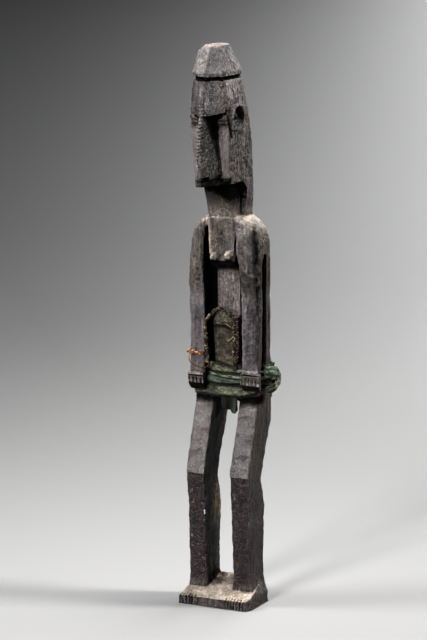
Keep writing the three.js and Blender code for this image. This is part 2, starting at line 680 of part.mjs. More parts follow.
function makeWristRing() {
  const { inner, outer, back } = ARM;
  const half = RING_STRING / 2;
  const turn = (z, grow) => level(
    z, [-outer - grow, -inner + grow], [-0.6 - grow, back + grow], 1.6 + grow / 2, 0.8 + grow,
  );
  const around = column([
    turn(RING_HEIGHT - half, 1.4), turn(RING_HEIGHT - half / 2, GAP + RING_STRING),
    turn(RING_HEIGHT + half / 2, GAP + RING_STRING), turn(RING_HEIGHT + half, 1.4),
  ]);
  const wrist = column([turn(RING_HEIGHT - 4, GAP), turn(RING_HEIGHT + 4, GAP)]);
  return cut(around, [wrist]);
}

function makeWristKnot() {
  const knot = new THREE.IcosahedronGeometry(1.5, 1);
  knot.translate(-36.2, -4.6, RING_HEIGHT + 1);
  return solid(knot);
}

// The slack loop: out from the front of the ring, down across the wrist and back up on its inner side.
const LOOP_ROUTE = [
  [-37.4, -3.8, 269.6], [-38.4, -4.2, 268], [-38.9, -4.2, 265.6], [-38.5, -4, 262.8], [-37, -3.9, 260.4],
  [-34.6, -4, 258.8], [-31.4, -4.2, 257.8], [-27.8, -4.4, 257], [-24, -4.4, 256.2], [-20.8, -4, 256],
  [-18.4, -2.6, 257], [-17, -0.4, 259.4], [-16.6, 1.4, 262.6], [-17, 2.4, 265.6], [-18.2, 2.8, 268.4],
  [-19.6, 3, 269.8],
];

// ---------------------------------------------------------------- the object

const surface = (color, roughness) => new THREE.MeshStandardMaterial({ color, roughness, metalness: 0 });

const figure = new THREE.Group();
figure.add(
  mesh('carved_figure', makeCarving(), surface(0x4d4644, 0.6)),
  mesh('hip_cloth', makeHipCloth(), surface(0x4a5044, 0.95)),
  mesh('sash', makeSash(), surface(0x35483f, 0.9)),
  mesh('sash_knot', makeKnot(), surface(0x2f4038, 0.9)),
  mesh('sash_tail', makeTail(), surface(0x28382c, 0.9)),
  mesh('apron_cloth', makeApron(), surface(0x3d4032, 0.95)),
  mesh('apron_border', makeApronBorder(), surface(0x51462f, 0.95)),
  mesh('wrist_ring', makeWristRing(), surface(0x8a5a33, 0.85)),
  mesh('wrist_knot', makeWristKnot(), surface(0x8a5a33, 0.85)),
  mesh('wrist_loop', cord(LOOP_ROUTE, LOOP_STRING / 2, 32), surface(0x6e4a2c, 0.85)),
);

export default figure;
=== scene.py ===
"""Looks of the carved ancestor figure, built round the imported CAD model.

Shapes are worked out in millimetres and become metres when a mesh is made. +Z is up, and the figure
faces -Y.
"""

import math

import bmesh
import bpy
import numpy as np
from mathutils import Matrix, Vector
from mathutils.bvhtree import BVHTree
from mathutils.kdtree import KDTree


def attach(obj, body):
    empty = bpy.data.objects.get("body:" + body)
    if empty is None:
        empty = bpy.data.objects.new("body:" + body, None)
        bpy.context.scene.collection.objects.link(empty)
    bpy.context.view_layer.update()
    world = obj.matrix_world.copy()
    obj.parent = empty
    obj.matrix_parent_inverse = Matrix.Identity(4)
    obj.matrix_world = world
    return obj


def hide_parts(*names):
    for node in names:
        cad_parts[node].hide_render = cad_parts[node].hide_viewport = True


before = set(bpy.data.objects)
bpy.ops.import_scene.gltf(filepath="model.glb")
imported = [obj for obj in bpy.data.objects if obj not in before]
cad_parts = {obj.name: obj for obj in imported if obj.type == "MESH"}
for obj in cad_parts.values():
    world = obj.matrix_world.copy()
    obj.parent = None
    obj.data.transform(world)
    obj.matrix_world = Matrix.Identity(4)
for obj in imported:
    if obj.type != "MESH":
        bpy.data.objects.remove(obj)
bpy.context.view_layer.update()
MM = 0.001
FULL_TURN = 2 * math.pi

# ---------------------------------------------------------------- camera

CAMERA = {"turn": 27.2, "rise": 10.3, "distance": 3.14, "lens": 167.0, "target": (-0.0071, -0.0089, 0.3095)}


def way_to(turn, rise):
    """The way to a place turn degrees from the figure's front, towards its left side, and rise degrees up."""
    turn, rise = math.radians(turn), math.radians(rise)
    return Vector((math.sin(turn) * math.cos(rise), -math.cos(turn) * math.cos(rise), math.sin(rise)))


def add_object(name, data):
    thing = bpy.data.objects.new(name, data)
    bpy.context.scene.collection.objects.link(thing)
    return thing


def make_camera():
    back = way_to(CAMERA["turn"], CAMERA["rise"])
    data = bpy.data.cameras.new("camera")
    data.lens = CAMERA["lens"]
    data.sensor_width = 36
    data.clip_start, data.clip_end = 0.1, 100
    camera = add_object("camera", data)
    camera.location = Vector(CAMERA["target"]) + back * CAMERA["distance"]
    camera.rotation_mode = "QUATERNION"
    camera.rotation_quaternion = (-back).to_track_quat("-Z", "Y")
    bpy.context.scene.camera = camera


make_camera()

# ---------------------------------------------------------------- noise and blending


def chance(cell, seed):
    """A random number from 0 to 1 for each integer cell, the same on each run."""
    h = cell[..., 0] * 73856093 ^ cell[..., 1] * 19349663 ^ cell[..., 2] * 83492791 ^ seed * 2654435761
    h = h & 0xFFFFFFFF
    for _ in range(2):
        h = (h ^ (h >> 16)) * 0x45D9F3B & 0xFFFFFFFF
    return ((h ^ (h >> 16)) & 0xFFFFFF) / 0xFFFFFF


def noise(points, size, seed):
    """Smooth noise from -1 to 1 whose cells are size = (x, y, z) wide."""
    q = points / np.array(size, float)
    cell = np.floor(q).astype(np.int64)
    f = q - cell
    f = f * f * (3 - 2 * f)
    total = 0
    for k in range(8):
        corner = np.array([k & 1, k >> 1 & 1, k >> 2 & 1])
        total = total + np.prod(np.where(corner, f, 1 - f), axis=-1) * chance(cell + corner, seed)
    return 2 * total - 1


def fractal(points, size, seed, octaves=3):
    """Noise with finer and weaker noise added for each further octave."""
    size, total, weight = np.array(size, float), 0, 0
    for k in range(octaves):
        total = total + noise(points, size / 2**k, seed + k) / 2**k
        weight += 1 / 2**k
    return total / weight


def wander(points, size, seed, octaves=1):
    """A noise vector for each point."""
    return np.stack([fractal(points, size, seed + k, octaves) for k in range(3)], axis=1)


def strokes(points, size, seed):
    """Tool marks, as two arrays.

    The first is 0 in the middle of the nearest mark and about 1 between marks. The second is a random
    number for each mark.
    """
    q = points / np.array(size, float)
    cell = np.floor(q).astype(np.int64)
    best, who = np.full(len(points), 9.0), np.zeros(len(points))
    for k in range(27):
        near = cell + np.array([k % 3 - 1, k // 3 % 3 - 1, k // 9 - 1])
        centre = near + 0.15 + 0.7 * np.stack([chance(near, seed + a) for a in range(3)], axis=-1)
        far = ((q - centre) ** 2).sum(axis=-1)
        closer = far < best
        best = np.where(closer, far, best)
        who = np.where(closer, chance(near, seed + 5), who)
    return np.minimum(best * 2, 1), who


def smooth(x, lo, hi):
    """0 up to lo, 1 from hi, and a soft step between them."""
    t = np.clip((x - lo) / (hi - lo), 0, 1)
    return t * t * (3 - 2 * t)


def band(x, lo, hi, soft):
    """1 from lo to hi, with soft edges."""
    return smooth(x, lo - soft, lo + soft) * (1 - smooth(x, hi - soft, hi + soft))


def patches(points, size, seed, low, high, octaves=3):
    """Soft patches of noise: 0 where it is below low and 1 where it is above high."""
    return smooth(fractal(points, size, seed, octaves), low, high)


def mix(a, b, share):
    share = np.asarray(share)[..., None]
    return np.asarray(a) * (1 - share) + np.asarray(b) * share


def linear(red, green, blue):
    """A colour as it looks, 0 to 255, in the light values that shaders use."""
    c = np.array([red, green, blue]) / 255
    return np.where(c <= 0.04045, c / 12.92, ((c + 0.055) / 1.055) ** 2.4)


def dimmed(colour, factor):
    """A colour times a number for each point."""
    return colour * np.asarray(factor)[:, None]


class Paint:
    """Colours laid one over another on the points of a surface."""

    def __init__(self, points, tint):
        self.points, self.tint = points, tint

    def lay(self, colour, share):
        self.tint = mix(self.tint, colour, share)

    def scale(self, factor):
        self.tint = dimmed(self.tint, factor)

    def mottle(self, size, seed, low, gain):
        self.scale(low + gain * patches(self.points, size, seed, -0.4, 0.4, 2))


# ---------------------------------------------------------------- materials


class Nodes:
    """Short ways to write one material's nodes."""

    def __init__(self, name):
        self.material = bpy.data.materials.new(name)
        self.material.use_nodes = True
        self.tree = self.material.node_tree
        self.tree.nodes.clear()
        self.shader = self.add("ShaderNodeBsdfPrincipled")
        self.link(self.shader.outputs[0], self.add("ShaderNodeOutputMaterial").inputs["Surface"])

    def add(self, kind, **values):
        node = self.tree.nodes.new(kind)
        for key, value in values.items():
            setattr(node, key, value)
        return node

    def link(self, source, target):
        self.tree.links.new(source, target)

    def constants(self, values):
        for name, value in values.items():
            self.shader.inputs[name].default_value = value

    def place(self, scale):
        """Object coordinates in millimetres, stretched by 1 / scale."""
        mapping = self.add("ShaderNodeMapping")
        mapping.inputs["Scale"].default_value = [1000 / s for s in scale]
        self.link(self.add("ShaderNodeTexCoord").outputs["Object"], mapping.inputs["Vector"])
        return mapping.outputs[0]

    def noise(self, scale, detail=2.0, rough=0.5):
        node = self.add("ShaderNodeTexNoise")
        node.inputs["Scale"].default_value = 1
        node.inputs["Detail"].default_value = detail
        node.inputs["Roughness"].default_value = rough
        self.link(self.place(scale), node.inputs["Vector"])
        return node.outputs["Fac"]

    def spread(self, value, low, high, to_low, to_high):
        node = self.add("ShaderNodeMapRange")
        for key, number in zip(("From Min", "From Max", "To Min", "To Max"), (low, high, to_low, to_high)):
            node.inputs[key].default_value = number
        self.link(value, node.inputs["Value"])
        return node.outputs[0]

    def fill(self, sockets, values):
        for socket, value in zip(sockets, values):
            if isinstance(value, (int, float)):
                socket.default_value = value
            elif isinstance(value, tuple):
                socket.default_value = (*value, 1)
            else:
                self.link(value, socket)

    def math(self, operation, a, b):
        node = self.add("ShaderNodeMath", operation=operation)
        self.fill(node.inputs, (a, b))
        return node.outputs[0]

    def times(self, a, b):
        return self.math("MULTIPLY", a, b)

    def plus(self, first, *others):
        for other in others:
            first = self.math("ADD", first, other)
        return first

    def blend(self, kind, factor, a, b):
        node = self.add("ShaderNodeMix", data_type="RGBA", blend_type=kind)
        self.fill((node.inputs[0], node.inputs[6], node.inputs[7]), (factor, a, b))
        return node.outputs[2]

    def shade(self, colour, value, low, high, dark, light, factor=1.0):
        """A colour times dark where value is low, and times light where it is high."""
        grey = self.add("ShaderNodeCombineColor")
        level = self.spread(value, low, high, dark, light)
        self.fill(grey.inputs, (level, level, level))
        return self.blend("MULTIPLY", factor, colour, grey.outputs[0])

    def attribute(self, name, output="Fac"):
        return self.add("ShaderNodeAttribute", attribute_name=name).outputs[output]

    def bump(self, height, strength, distance):
        node = self.add("ShaderNodeBump")
        node.inputs["Strength"].default_value = strength
        node.inputs["Distance"].default_value = distance * MM
        self.link(height, node.inputs["Height"])
        self.link(node.outputs[0], self.shader.inputs["Normal"])


def wood_material(name, level, matt):
    """Old dark wood. level is how strongly it shines, and matt is added to its roughness."""
    n = Nodes(name)
    wear_and_highlight, coarse = n.attribute("wear_and_highlight"), n.attribute("coarse")
    grain = n.noise((0.8, 0.8, 22), 4, 0.62)
    fibre = n.noise((0.45, 0.45, 7), 3, 0.6)
    speck = n.noise((1.3, 1.3, 1.9), 3, 0.7)
    stain = n.noise((11, 11, 19), 3, 0.55)
    streak = n.noise((2.6, 2.6, 24), 3, 0.6)
    mottle = n.noise((3.4, 3.4, 4.6), 4, 0.68)

    def by_coarse(fine, rough):
        return n.spread(coarse, 0, 1, fine, rough)

    cells = n.add("ShaderNodeTexVoronoi", feature="F1")
    cells.inputs["Scale"].default_value = 1
    n.link(n.place((2.3, 2.3, 4.2)), cells.inputs["Vector"])
    pit = n.times(n.spread(cells.outputs["Distance"], 0.12, 0.5, 1, 0), n.spread(stain, 0.42, 0.56, 0.25, 1))
    pit = n.times(pit, n.spread(coarse, 0.2, 1, 0, 1))

    colour = n.shade(n.attribute("tint", "Color"), grain, 0.3, 0.72, 0.6, 1.4)
    colour = n.shade(colour, streak, 0.33, 0.67, 0.45, 1.6, by_coarse(0.35, 0.7))
    colour = n.shade(colour, mottle, 0.34, 0.66, 0.42, 1.62, by_coarse(0.35, 0.9))
    colour = n.shade(colour, speck, 0.32, 0.68, 0.35, 1.7, by_coarse(0.3, 0.9))
    colour = n.shade(colour, stain, 0.3, 0.7, 0.68, 1.3)
    colour = n.shade(colour, pit, 0, 1, 1.0, 0.4)
    # paler where handling has made the edges pale, and where highlights are painted
    pale_edge = n.times(wear_and_highlight, n.spread(fibre, 0.35, 0.65, 0.3, 1.0))
    n.link(n.blend("MIX", pale_edge, colour, (0.18, 0.168, 0.158)), n.shader.inputs["Base Color"])

    rough = n.plus(by_coarse(0.32 + matt, 0.44 + matt), n.spread(speck, 0.25, 0.75, -0.08, 0.12))
    n.link(rough, n.shader.inputs["Roughness"])
    n.constants({"Specular IOR Level": level})
    fine = n.plus(n.times(grain, 0.5), n.times(speck, by_coarse(0.15, 1.0)), n.times(fibre, 0.25))
    broad = n.plus(n.times(mottle, by_coarse(0.35, 2.2)), n.times(streak, 0.9))
    n.bump(n.plus(fine, n.times(pit, -0.6), broad), 1.0, 1.1)
    return n.material


def cloth_material(name, thread, sheen):
    """Plain weave. thread is the width of one yarn in millimetres."""
    n = Nodes(name)
    waves = []
    for direction in ("X", "Z"):
        wave = n.add("ShaderNodeTexWave", bands_direction=direction, wave_profile="SIN")
        wave.inputs["Scale"].default_value = 1
        wave.inputs["Distortion"].default_value = 1.2
        wave.inputs["Detail"].default_value = 1
        n.link(n.place([thread * 6.28] * 3), wave.inputs["Vector"])
        waves.append(wave.outputs["Fac"])
    weave = n.math("MAXIMUM", *waves)
    soil = n.noise((6, 6, 6), 4, 0.6)
    fleck = n.noise((1.1, 1.1, 1.1), 3, 0.6)
    slub = n.noise((2.4, 2.4, 2.0), 3, 0.65)
    colour = n.shade(n.attribute("tint", "Color"), soil, 0.3, 0.7, 0.5, 1.45)
    colour = n.shade(colour, slub, 0.34, 0.66, 0.55, 1.5)
    colour = n.shade(colour, fleck, 0.3, 0.7, 0.7, 1.3)
    colour = n.shade(colour, weave, 0.0, 1.0, 0.8, 1.12)
    n.link(colour, n.shader.inputs["Base Color"])
    n.constants({"Roughness": 0.88, "Specular IOR Level": 0.25})
    n.constants({"Sheen Weight": sheen, "Sheen Roughness": 0.5})
    n.bump(n.plus(n.times(weave, 0.4), fleck, n.times(slub, 2.0)), 0.8, 0.5)
    return n.material


def fibre_material(name, rough):
    n = Nodes(name)
    strand = n.noise((0.5, 0.5, 1.4), 3, 0.6)
    crust = n.noise((2.6, 2.6, 3.0), 3, 0.6)
    colour = n.shade(n.attribute("tint", "Color"), strand, 0.3, 0.7, 0.55, 1.4)
    colour = n.shade(colour, crust, 0.36, 0.64, 0.3, 1.6)
    n.link(colour, n.shader.inputs["Base Color"])
    n.constants({"Roughness": rough, "Specular IOR Level": 0.3})
    n.bump(strand, 0.6, 0.3)
    return n.material


WOOD = wood_material("aged_wood", 0.5, -0.04)
# shaded copies of the wood, with less shine and more roughness, for the places where shade is painted
HALF_SHADE_WOOD = wood_material("aged_wood_half_shade", 0.24, 0.2)
DEEP_SHADE_WOOD = wood_material("aged_wood_deep_shade", 0.06, 0.45)
OLIVE = cloth_material("olive_cloth", 0.55, 0.05)
GREEN = cloth_material("green_cloth", 0.5, 0.06)
BELLY = cloth_material("belly_cloth", 0.6, 0.04)
CRUST = fibre_material("frayed_border", 0.85)
STRING = fibre_material("wrist_string", 0.7)

# ---------------------------------------------------------------- meshes


def finish_piece(name, mesh, slot, *nodes):
    """A smooth piece that rides on the figure and stands for CAD nodes, which it hides. slot is not used."""
    mesh.polygons.foreach_set("use_smooth", [True] * len(mesh.polygons))
    piece = add_object(name, mesh)
    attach(piece, "root")
    if nodes:
        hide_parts(*nodes)
    return piece


def make_piece(name, points, faces, material, tint, slot, *nodes):
    """A piece from points in millimetres. tint is one colour, or one for each point."""
    mesh = bpy.data.meshes.new(name)
    mesh.from_pydata((np.asarray(points) * MM).tolist(), [], [list(map(int, f)) for f in faces])
    mesh.update()
    paint_mesh(mesh, tint)
    mesh.materials.append(material)
    return finish_piece(name, mesh, slot, *nodes)


def paint_mesh(mesh, tint):
    colours = np.ones((len(mesh.vertices), 4), np.float32)
    colours[:, :3] = np.clip(tint, 0, 1)
    mesh.attributes.new("tint", "FLOAT_COLOR", "POINT").data.foreach_set("color", colours.ravel())


def unit(vectors):
    return vectors / np.linalg.norm(vectors, axis=-1, keepdims=True)


def stretch(points, count, closed=False):
    """A smooth curve through points, with count points evenly spaced along it."""
    p = np.array(points, float)
    n = len(p)
    fine = []
    t = np.linspace(0, 1, 16, endpoint=False)[:, None]
    for k in range(n if closed else n - 1):
        if closed:
            a, b, c, d = p[(k - 1) % n], p[k], p[(k + 1) % n], p[(k + 2) % n]
        else:
            a, b, c, d = p[max(k - 1, 0)], p[k], p[k + 1], p[min(k + 2, n - 1)]
        cubic = (3 * b - a - 3 * c + d) * t**3
        fine.append(0.5 * (2 * b + (c - a) * t + (2 * a - 5 * b + 4 * c - d) * t**2 + cubic))
    fine = np.concatenate(fine + [p[:1] if closed else p[-1:]])
    along = distances(fine)
    at = np.linspace(0, along[-1], count + 1)[:-1] if closed else np.linspace(0, along[-1], count)
    return np.stack([np.interp(at, along, fine[:, k]) for k in range(3)], axis=1)


def distances(path):
    """How far along the path each of its points is."""
    return np.concatenate([[0], np.cumsum(np.linalg.norm(np.diff(path, axis=0), axis=1))])


def carried(path, closed=False):
    """Two directions across the path at each point, carried along it without twisting."""
    along = np.roll(path, -1, axis=0) - np.roll(path, 1, axis=0) if closed else np.gradient(path, axis=0)
    along = unit(along)
    side = np.cross(along[0], (0, 0, 1.0))
    if np.linalg.norm(side) < 0.1:
        side = np.cross(along[0], (0, 1.0, 0))
    sides = []
    for direction in along:
        side = unit(side - direction * (side @ direction))
        sides.append(side)
    sides = np.array(sides)
    return sides, np.cross(along, sides)


def grid_faces(rows, columns, around=True, along=False):
    """Faces between rows of points. around closes each row, and along joins the last row to the first."""
    return [
        (i * columns + j, i * columns + k, (i + 1) % rows * columns + k, (i + 1) % rows * columns + j)
        for i in range(rows if along else rows - 1)
        for j, k in zip(range(columns if around else columns - 1), [*range(1, columns), 0])
    ]


def end_caps(rows, columns):
    return [tuple(range(columns))[::-1], tuple(range((rows - 1) * columns, rows * columns))]


def tube(path, radius, sides, closed=False):
    """(points, faces) of a tube. radius is one number, one for each ring, or one for each ring and side."""
    a, b = carried(path, closed)
    turn = np.linspace(0, FULL_TURN, sides, endpoint=False)
    radius = np.asarray(radius, float)
    radius = np.broadcast_to(radius.reshape(-1, 1) if radius.ndim < 2 else radius, (len(path), sides))
    around = a[:, None] * np.cos(turn)[None, :, None] + b[:, None] * np.sin(turn)[None, :, None]
    points = (path[:, None] + around * radius[..., None]).reshape(-1, 3)
    faces = grid_faces(len(path), sides, along=closed)
    return points, faces if closed else faces + end_caps(len(path), sides)


def together(parts):
    """Several (points, faces, tint) as one."""
    points, faces, tints, start = [], [], [], 0
    for p, f, t in parts:
        points.append(p)
        tints.append(np.broadcast_to(t, p.shape))
        faces += [tuple(np.array(face) + start) for face in f]
        start += len(p)
    return np.concatenate(points), faces, np.concatenate(tints)


def plied(path, ply, twist, closed=False, tint=0.0):
    """Two strands of radius ply laid round the path, one turn every twist millimetres."""
    a, b = carried(path, closed)
    along = distances(path)
    whole = along[-1] + (np.linalg.norm(path[0] - path[-1]) if closed else 0)
    turns = max(1, round(whole / twist)) if closed else whole / twist
    parts = []
    for start in (0, 0.5):
        angle = FULL_TURN * (along / whole * turns + start)
        line = path + (a * np.cos(angle)[:, None] + b * np.sin(angle)[:, None]) * ply * 0.92
        parts.append((*tube(line, ply, 6, closed), tint))
    return parts


def fibres(random, roots, ways, length, radius, tints):
    """Short curly hairs that stand out of roots along ways."""
    parts = []
    for root, way in zip(roots, ways):
        way = way / max(np.linalg.norm(way), 1e-9) + random.normal(0, 0.45, 3)
        step = length * random.uniform(0.5, 1.2) / 5
        line = [np.array(root, float)]
        for _ in range(5):
            way = unit(way) + random.normal(0, 0.5, 3)
            line.append(line[-1] + unit(way) * step)
        thick = radius * random.uniform(0.7, 1.3) * np.linspace(1, 0.5, 6)
        tint = tints[random.integers(len(tints))] * random.uniform(0.6, 1.3)
        parts.append((*tube(np.array(line), thick, 4), tint))
    return parts


# ---------------------------------------------------------------- wrist string

RING_HEIGHT = 271.4
RING = [
    (-42.6, 0.6), (-41.6, -1.9), (-36, -2.9), (-29, -2.7), (-23, -2.3), (-20.9, -0.6), (-20.6, 5),
    (-20.9, 12.2), (-23, 13.4), (-32, 13.7), (-41, 13.4), (-42.7, 12), (-42.9, 6),
]
RING_TURNS = ((0.9, 0.5, 0.0), (-0.9, -0.7, 0.15), (0.1, 0.2, 0.5))  # height, lean, how far out
LOOP = [
    (-37.4, -3.8, 269.6), (-38.4, -4.2, 268), (-38.9, -4.2, 265.6), (-38.5, -4, 262.8), (-37, -3.9, 260.4),
    (-34.6, -4, 258.8), (-31.4, -4.2, 257.8), (-27.8, -4.4, 257), (-24, -4.4, 256.2), (-20.8, -4, 256),
    (-18.4, -2.6, 257), (-17, -0.4, 259.4), (-16.6, 1.4, 262.6), (-17, 2.4, 265.6), (-18.2, 2.8, 268.4),
    (-19.6, 3, 269.8),
]
KNOT_CENTRE = np.array([-36.4, -4.2, RING_HEIGHT + 0.8])
KNOT_ENDS = (
    [(0, 0, 0), (-1.6, -0.8, 1.2), (-3.1, -0.7, 2.6), (-3.6, -0.3, 4)],
    [(0.4, 0, 0.2), (1.8, -0.9, 1.5), (3.2, -0.9, 2.3), (4.8, -0.6, 2)],
)
OCHRE = [linear(134, 98, 64), linear(98, 67, 45), linear(60, 42, 31), linear(154, 127, 93)]


def make_wrist_loop():
    route = stretch(LOOP, 90)
    points, faces, _ = together(plied(route, 0.33, 3.2))
    tint = mix(OCHRE[2], OCHRE[0], smooth(points[:, 2], 258, 268) * smooth(-points[:, 0], 30, 37))
    loop = make_piece("wrist_string_loop", points, faces, STRING, tint, "wrist_string", "wrist_loop")


def make_wrist_ring():
    parts = []
    for height, lean, out in RING_TURNS:
        ring = [
            (x - out * 0.4 * np.sign(x + 32), y - out, RING_HEIGHT + height + lean * (x + 32) / 10)
            for x, y in RING
        ]
        route = stretch(ring, 220, closed=True)
        parts += plied(route + 0.22 * wander(route, (4, 4, 4), 11), 0.42, 4.4, closed=True)
    points, faces, _ = together(parts)
    tint = mix(OCHRE[1], OCHRE[3], patches(points, (3, 3, 1.2), 21, 0.0, 0.6, 1))
    # painted shade on the ring's side towards the trunk
    tint = mix(tint, OCHRE[2] * 0.5, smooth(points[:, 0], -27, -21))
    make_piece("wrist_string_ring", points, faces, STRING, tint, "wrist_string", "wrist_ring")


def make_wrist_knot():
    random = np.random.default_rng(9)
    turn = np.linspace(0, FULL_TURN, 90, endpoint=False)
    around = 1.55 + 0.6 * np.cos(3 * turn)
    line = [around * np.cos(2 * turn) * 1.2, 0.75 * np.sin(3 * turn), around * np.sin(2 * turn)]
    parts = plied(KNOT_CENTRE + np.stack(line, axis=1), 0.36, 3.4, closed=True, tint=OCHRE[0])
    for end in KNOT_ENDS:
        parts += plied(stretch(KNOT_CENTRE + np.array(end), 24), 0.34, 3, tint=OCHRE[3])
    roots = KNOT_CENTRE + random.normal(0, 1.2, (26, 3)) * (1.2, 0.5, 0.9)
    parts += fibres(random, roots, roots - KNOT_CENTRE + np.array([0, -0.6, 0.5]), 2.6, 0.13, OCHRE)
    roots = np.array([-17.3, -1.4, 258.2]) + random.normal(0, 0.9, (22, 3))
    parts += fibres(random, roots, random.normal(0, 1, (22, 3)), 3.2, 0.16, OCHRE[1:3])
    points, faces, tint = together(parts)
    make_piece("wrist_string_knot", points, faces, STRING, tint, "wrist_string", "wrist_knot")


make_wrist_loop()
make_wrist_ring()
make_wrist_knot()

# ---------------------------------------------------------------- the carved block

VOXEL = 1.1
SAMPLED = 11  # one point in this many is tested for shelter
RAYS = 22
RAY_LENGTH = 70
RAY_START = 0.6  # above the surface
EARS = ((1, -15.0), (-1, -9.5))  # side, y
EAR_Z = 526.8
KNUCKLES = (240.8, 239.2)  # heights on the left and right hand
HAND_TOPS = (254.6, 249.4)
TOES = (-28.8, 25.4)  # x of each foot's middle
ARM_ACROSS = (0.889, 0.457)  # x and y across the left arm, from its inner front edge to its outer back edge
NOTCHES = [
    # start, end, into the wood, width, depth
    *[((s * 22.6, -34.6, 538), (s * 22.6, -23.4, 503), (-s, 0, 0), 2.0, 3.0) for s in (1, -1)],
    *[((s * 6, -36, 523.2), (s * 24, -34, 525.6), (0, 1, -0.1), 1.3, 2.2) for s in (1, -1)],
    *[((s * 6, -33.4, 519.6), (s * 24, -33, 521.2), (0, 1, 0), 1.1, 1.2) for s in (1, -1)],
]
CRACKS = [
    # start, end, width
    ((23, -20, 556), (23, -9, 512), 1.0), ((21, -2, 568), (23, 4, 520), 0.9),
    ((23, 8, 500), (22.6, 12, 463), 0.8), ((41, 28, 372), (41, 26, 290), 0.9),
    ((12, 33, 400), (8, 33, 290), 1.3), ((-18, 33, 350), (-16, 33, 268), 1.0),
    ((39, 22, 130), (38, 20, 40), 0.9), ((30, 8, 422), (14, 2, 423), 1.0),
    ((-28, 24, 60), (-26, 24, 12), 0.9), ((6, 14, 355), (4, 13, 322), 0.7),
    ((3, 28, 596), (-2, 12, 560), 1.0), ((-14, -7, 23.5), (-6, 6, 25), 1.2),
]
GREY_BROWN = linear(68, 61, 55)
PURPLE_GREY = linear(70, 65, 66)
PURPLE = linear(72, 67, 75)
SHIN_BROWN = linear(38, 28, 30)
DARK = linear(13, 11, 10)
TAN = linear(147, 137, 126)
PALE_GREY = linear(84, 79, 79)
WARM_LIGHT = linear(88, 68, 44)
RIM_LIGHT = linear(104, 92, 72)
FLECK = linear(150, 122, 112)
BARE_WOOD = linear(215, 208, 196)
UMBER = linear(43, 35, 29)


def fine_area(p):
    """The small carved features, which get finer faces than the rest."""
    x, y, z = p.T
    out = np.abs(x)
    face = (z > 458) & (y < -29) & (z < 604)
    ear = (out > 18) & (np.abs(z - EAR_Z) < 18) & (y < 9) & (y > -38)
    brim = (z > 563) & (z < 577)
    hand = (z > 227) & (z < 256) & (y < 2.5) & (out > 19)
    toe = (z < 15) & (y < -19)
    breast = (np.abs(z - 376) < 13) & (y < 2) & (out < 18)
    return face | ear | brim | hand | toe | breast


def welded_copy(node):
    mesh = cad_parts[node].data.copy()
    work = bmesh.new()
    work.from_mesh(mesh)
    bmesh.ops.remove_doubles(work, verts=work.verts, dist=1e-6)
    bmesh.ops.recalc_face_normals(work, faces=work.faces)
    work.to_mesh(mesh)
    work.free()
    return add_object("copy", mesh)


def evaluated(thing):
    return bpy.data.meshes.new_from_object(thing.evaluated_get(bpy.context.evaluated_depsgraph_get()))


def remeshed(node):
    """An even-faced copy of a CAD node, four faces for one in the fine area, and a tree for ray casts."""
    source = welded_copy(node)
    modifier = source.modifiers.new("remesh", "REMESH")
    modifier.mode = "VOXEL"
    modifier.voxel_size = VOXEL * MM
    mesh = evaluated(source)
    source.modifiers.clear()
    wanted = fine_area(arrays(mesh)[0])
    work = bmesh.new()
    work.from_mesh(mesh)
    edges = [e for e in work.edges if wanted[e.verts[0].index] and wanted[e.verts[1].index]]
    bmesh.ops.subdivide_edges(work, edges=edges, cuts=1, use_grid_fill=True)
    work.to_mesh(mesh)
    work.free()
    copy = add_object("even", mesh)
    wrap = copy.modifiers.new("wrap", "SHRINKWRAP")
    wrap.target = source
    wrap.wrap_method = "NEAREST_SURFACEPOINT"
    result = evaluated(copy)
    tree = BVHTree.FromObject(source, bpy.context.evaluated_depsgraph_get())
    bpy.data.objects.remove(copy)
    bpy.data.objects.remove(source)
    return result, tree


def arrays(mesh):
    """A mesh's points in millimetres, its normals and its edges."""
    points = np.zeros(len(mesh.vertices) * 3, np.float32)
    normals = np.zeros(len(mesh.vertices) * 3, np.float32)
    edges = np.zeros(len(mesh.edges) * 2, np.int32)
    mesh.vertices.foreach_get("co", points)
    mesh.vertices.foreach_get("normal", normals)
    mesh.edges.foreach_get("vertices", edges)
    points, normals = (values.reshape(-1, 3).astype(float) for values in (points, normals))
    return points / MM, normals, edges.reshape(-1, 2)


def averaged(values, edges, times):
    """Values smoothed over the mesh."""
    values = np.array(values, float)
    flat = values.reshape(len(values), -1)
    degree = np.bincount(edges.ravel(), minlength=len(values))[:, None].clip(1)
    for _ in range(times):
        total = np.zeros_like(flat)
        for k in range(flat.shape[1]):
            total[:, k] = np.bincount(edges[:, 0], flat[edges[:, 1], k], len(flat))
            total[:, k] += np.bincount(edges[:, 1], flat[edges[:, 0], k], len(flat))
        flat = 0.5 * flat + 0.5 * total / degree
    return flat.reshape(values.shape)


def shelter(p, n, edges, tree):
    """How far each point is shut in by the carving round it: 0 in the open, 1 in a deep recess."""
    ways = unit(np.random.default_rng(3).normal(0, 1, (RAYS, 3)))
    chosen = np.arange(0, len(p), SAMPLED)
    finder = KDTree(len(chosen))
    shut = np.zeros(len(chosen))
    for k, i in enumerate(chosen):
        start = Vector((p[i] + n[i] * RAY_START) * MM)
        finder.insert(start, k)
        rays = [Vector(way + n[i] * 1.02).normalized() for way in ways]
        hits = [tree.ray_cast(start, ray, RAY_LENGTH * MM)[0] for ray in rays]
        shut[k] = sum(hit is not None for hit in hits) / RAYS
    finder.balance()
    out = np.zeros(len(p))
    for i in range(len(p)):
        near = finder.find_n(Vector((p[i] + n[i] * RAY_START) * MM), 3)
        out[i] = sum(shut[k] for _, k, _ in near) / 3
    return averaged(out, edges, 3)


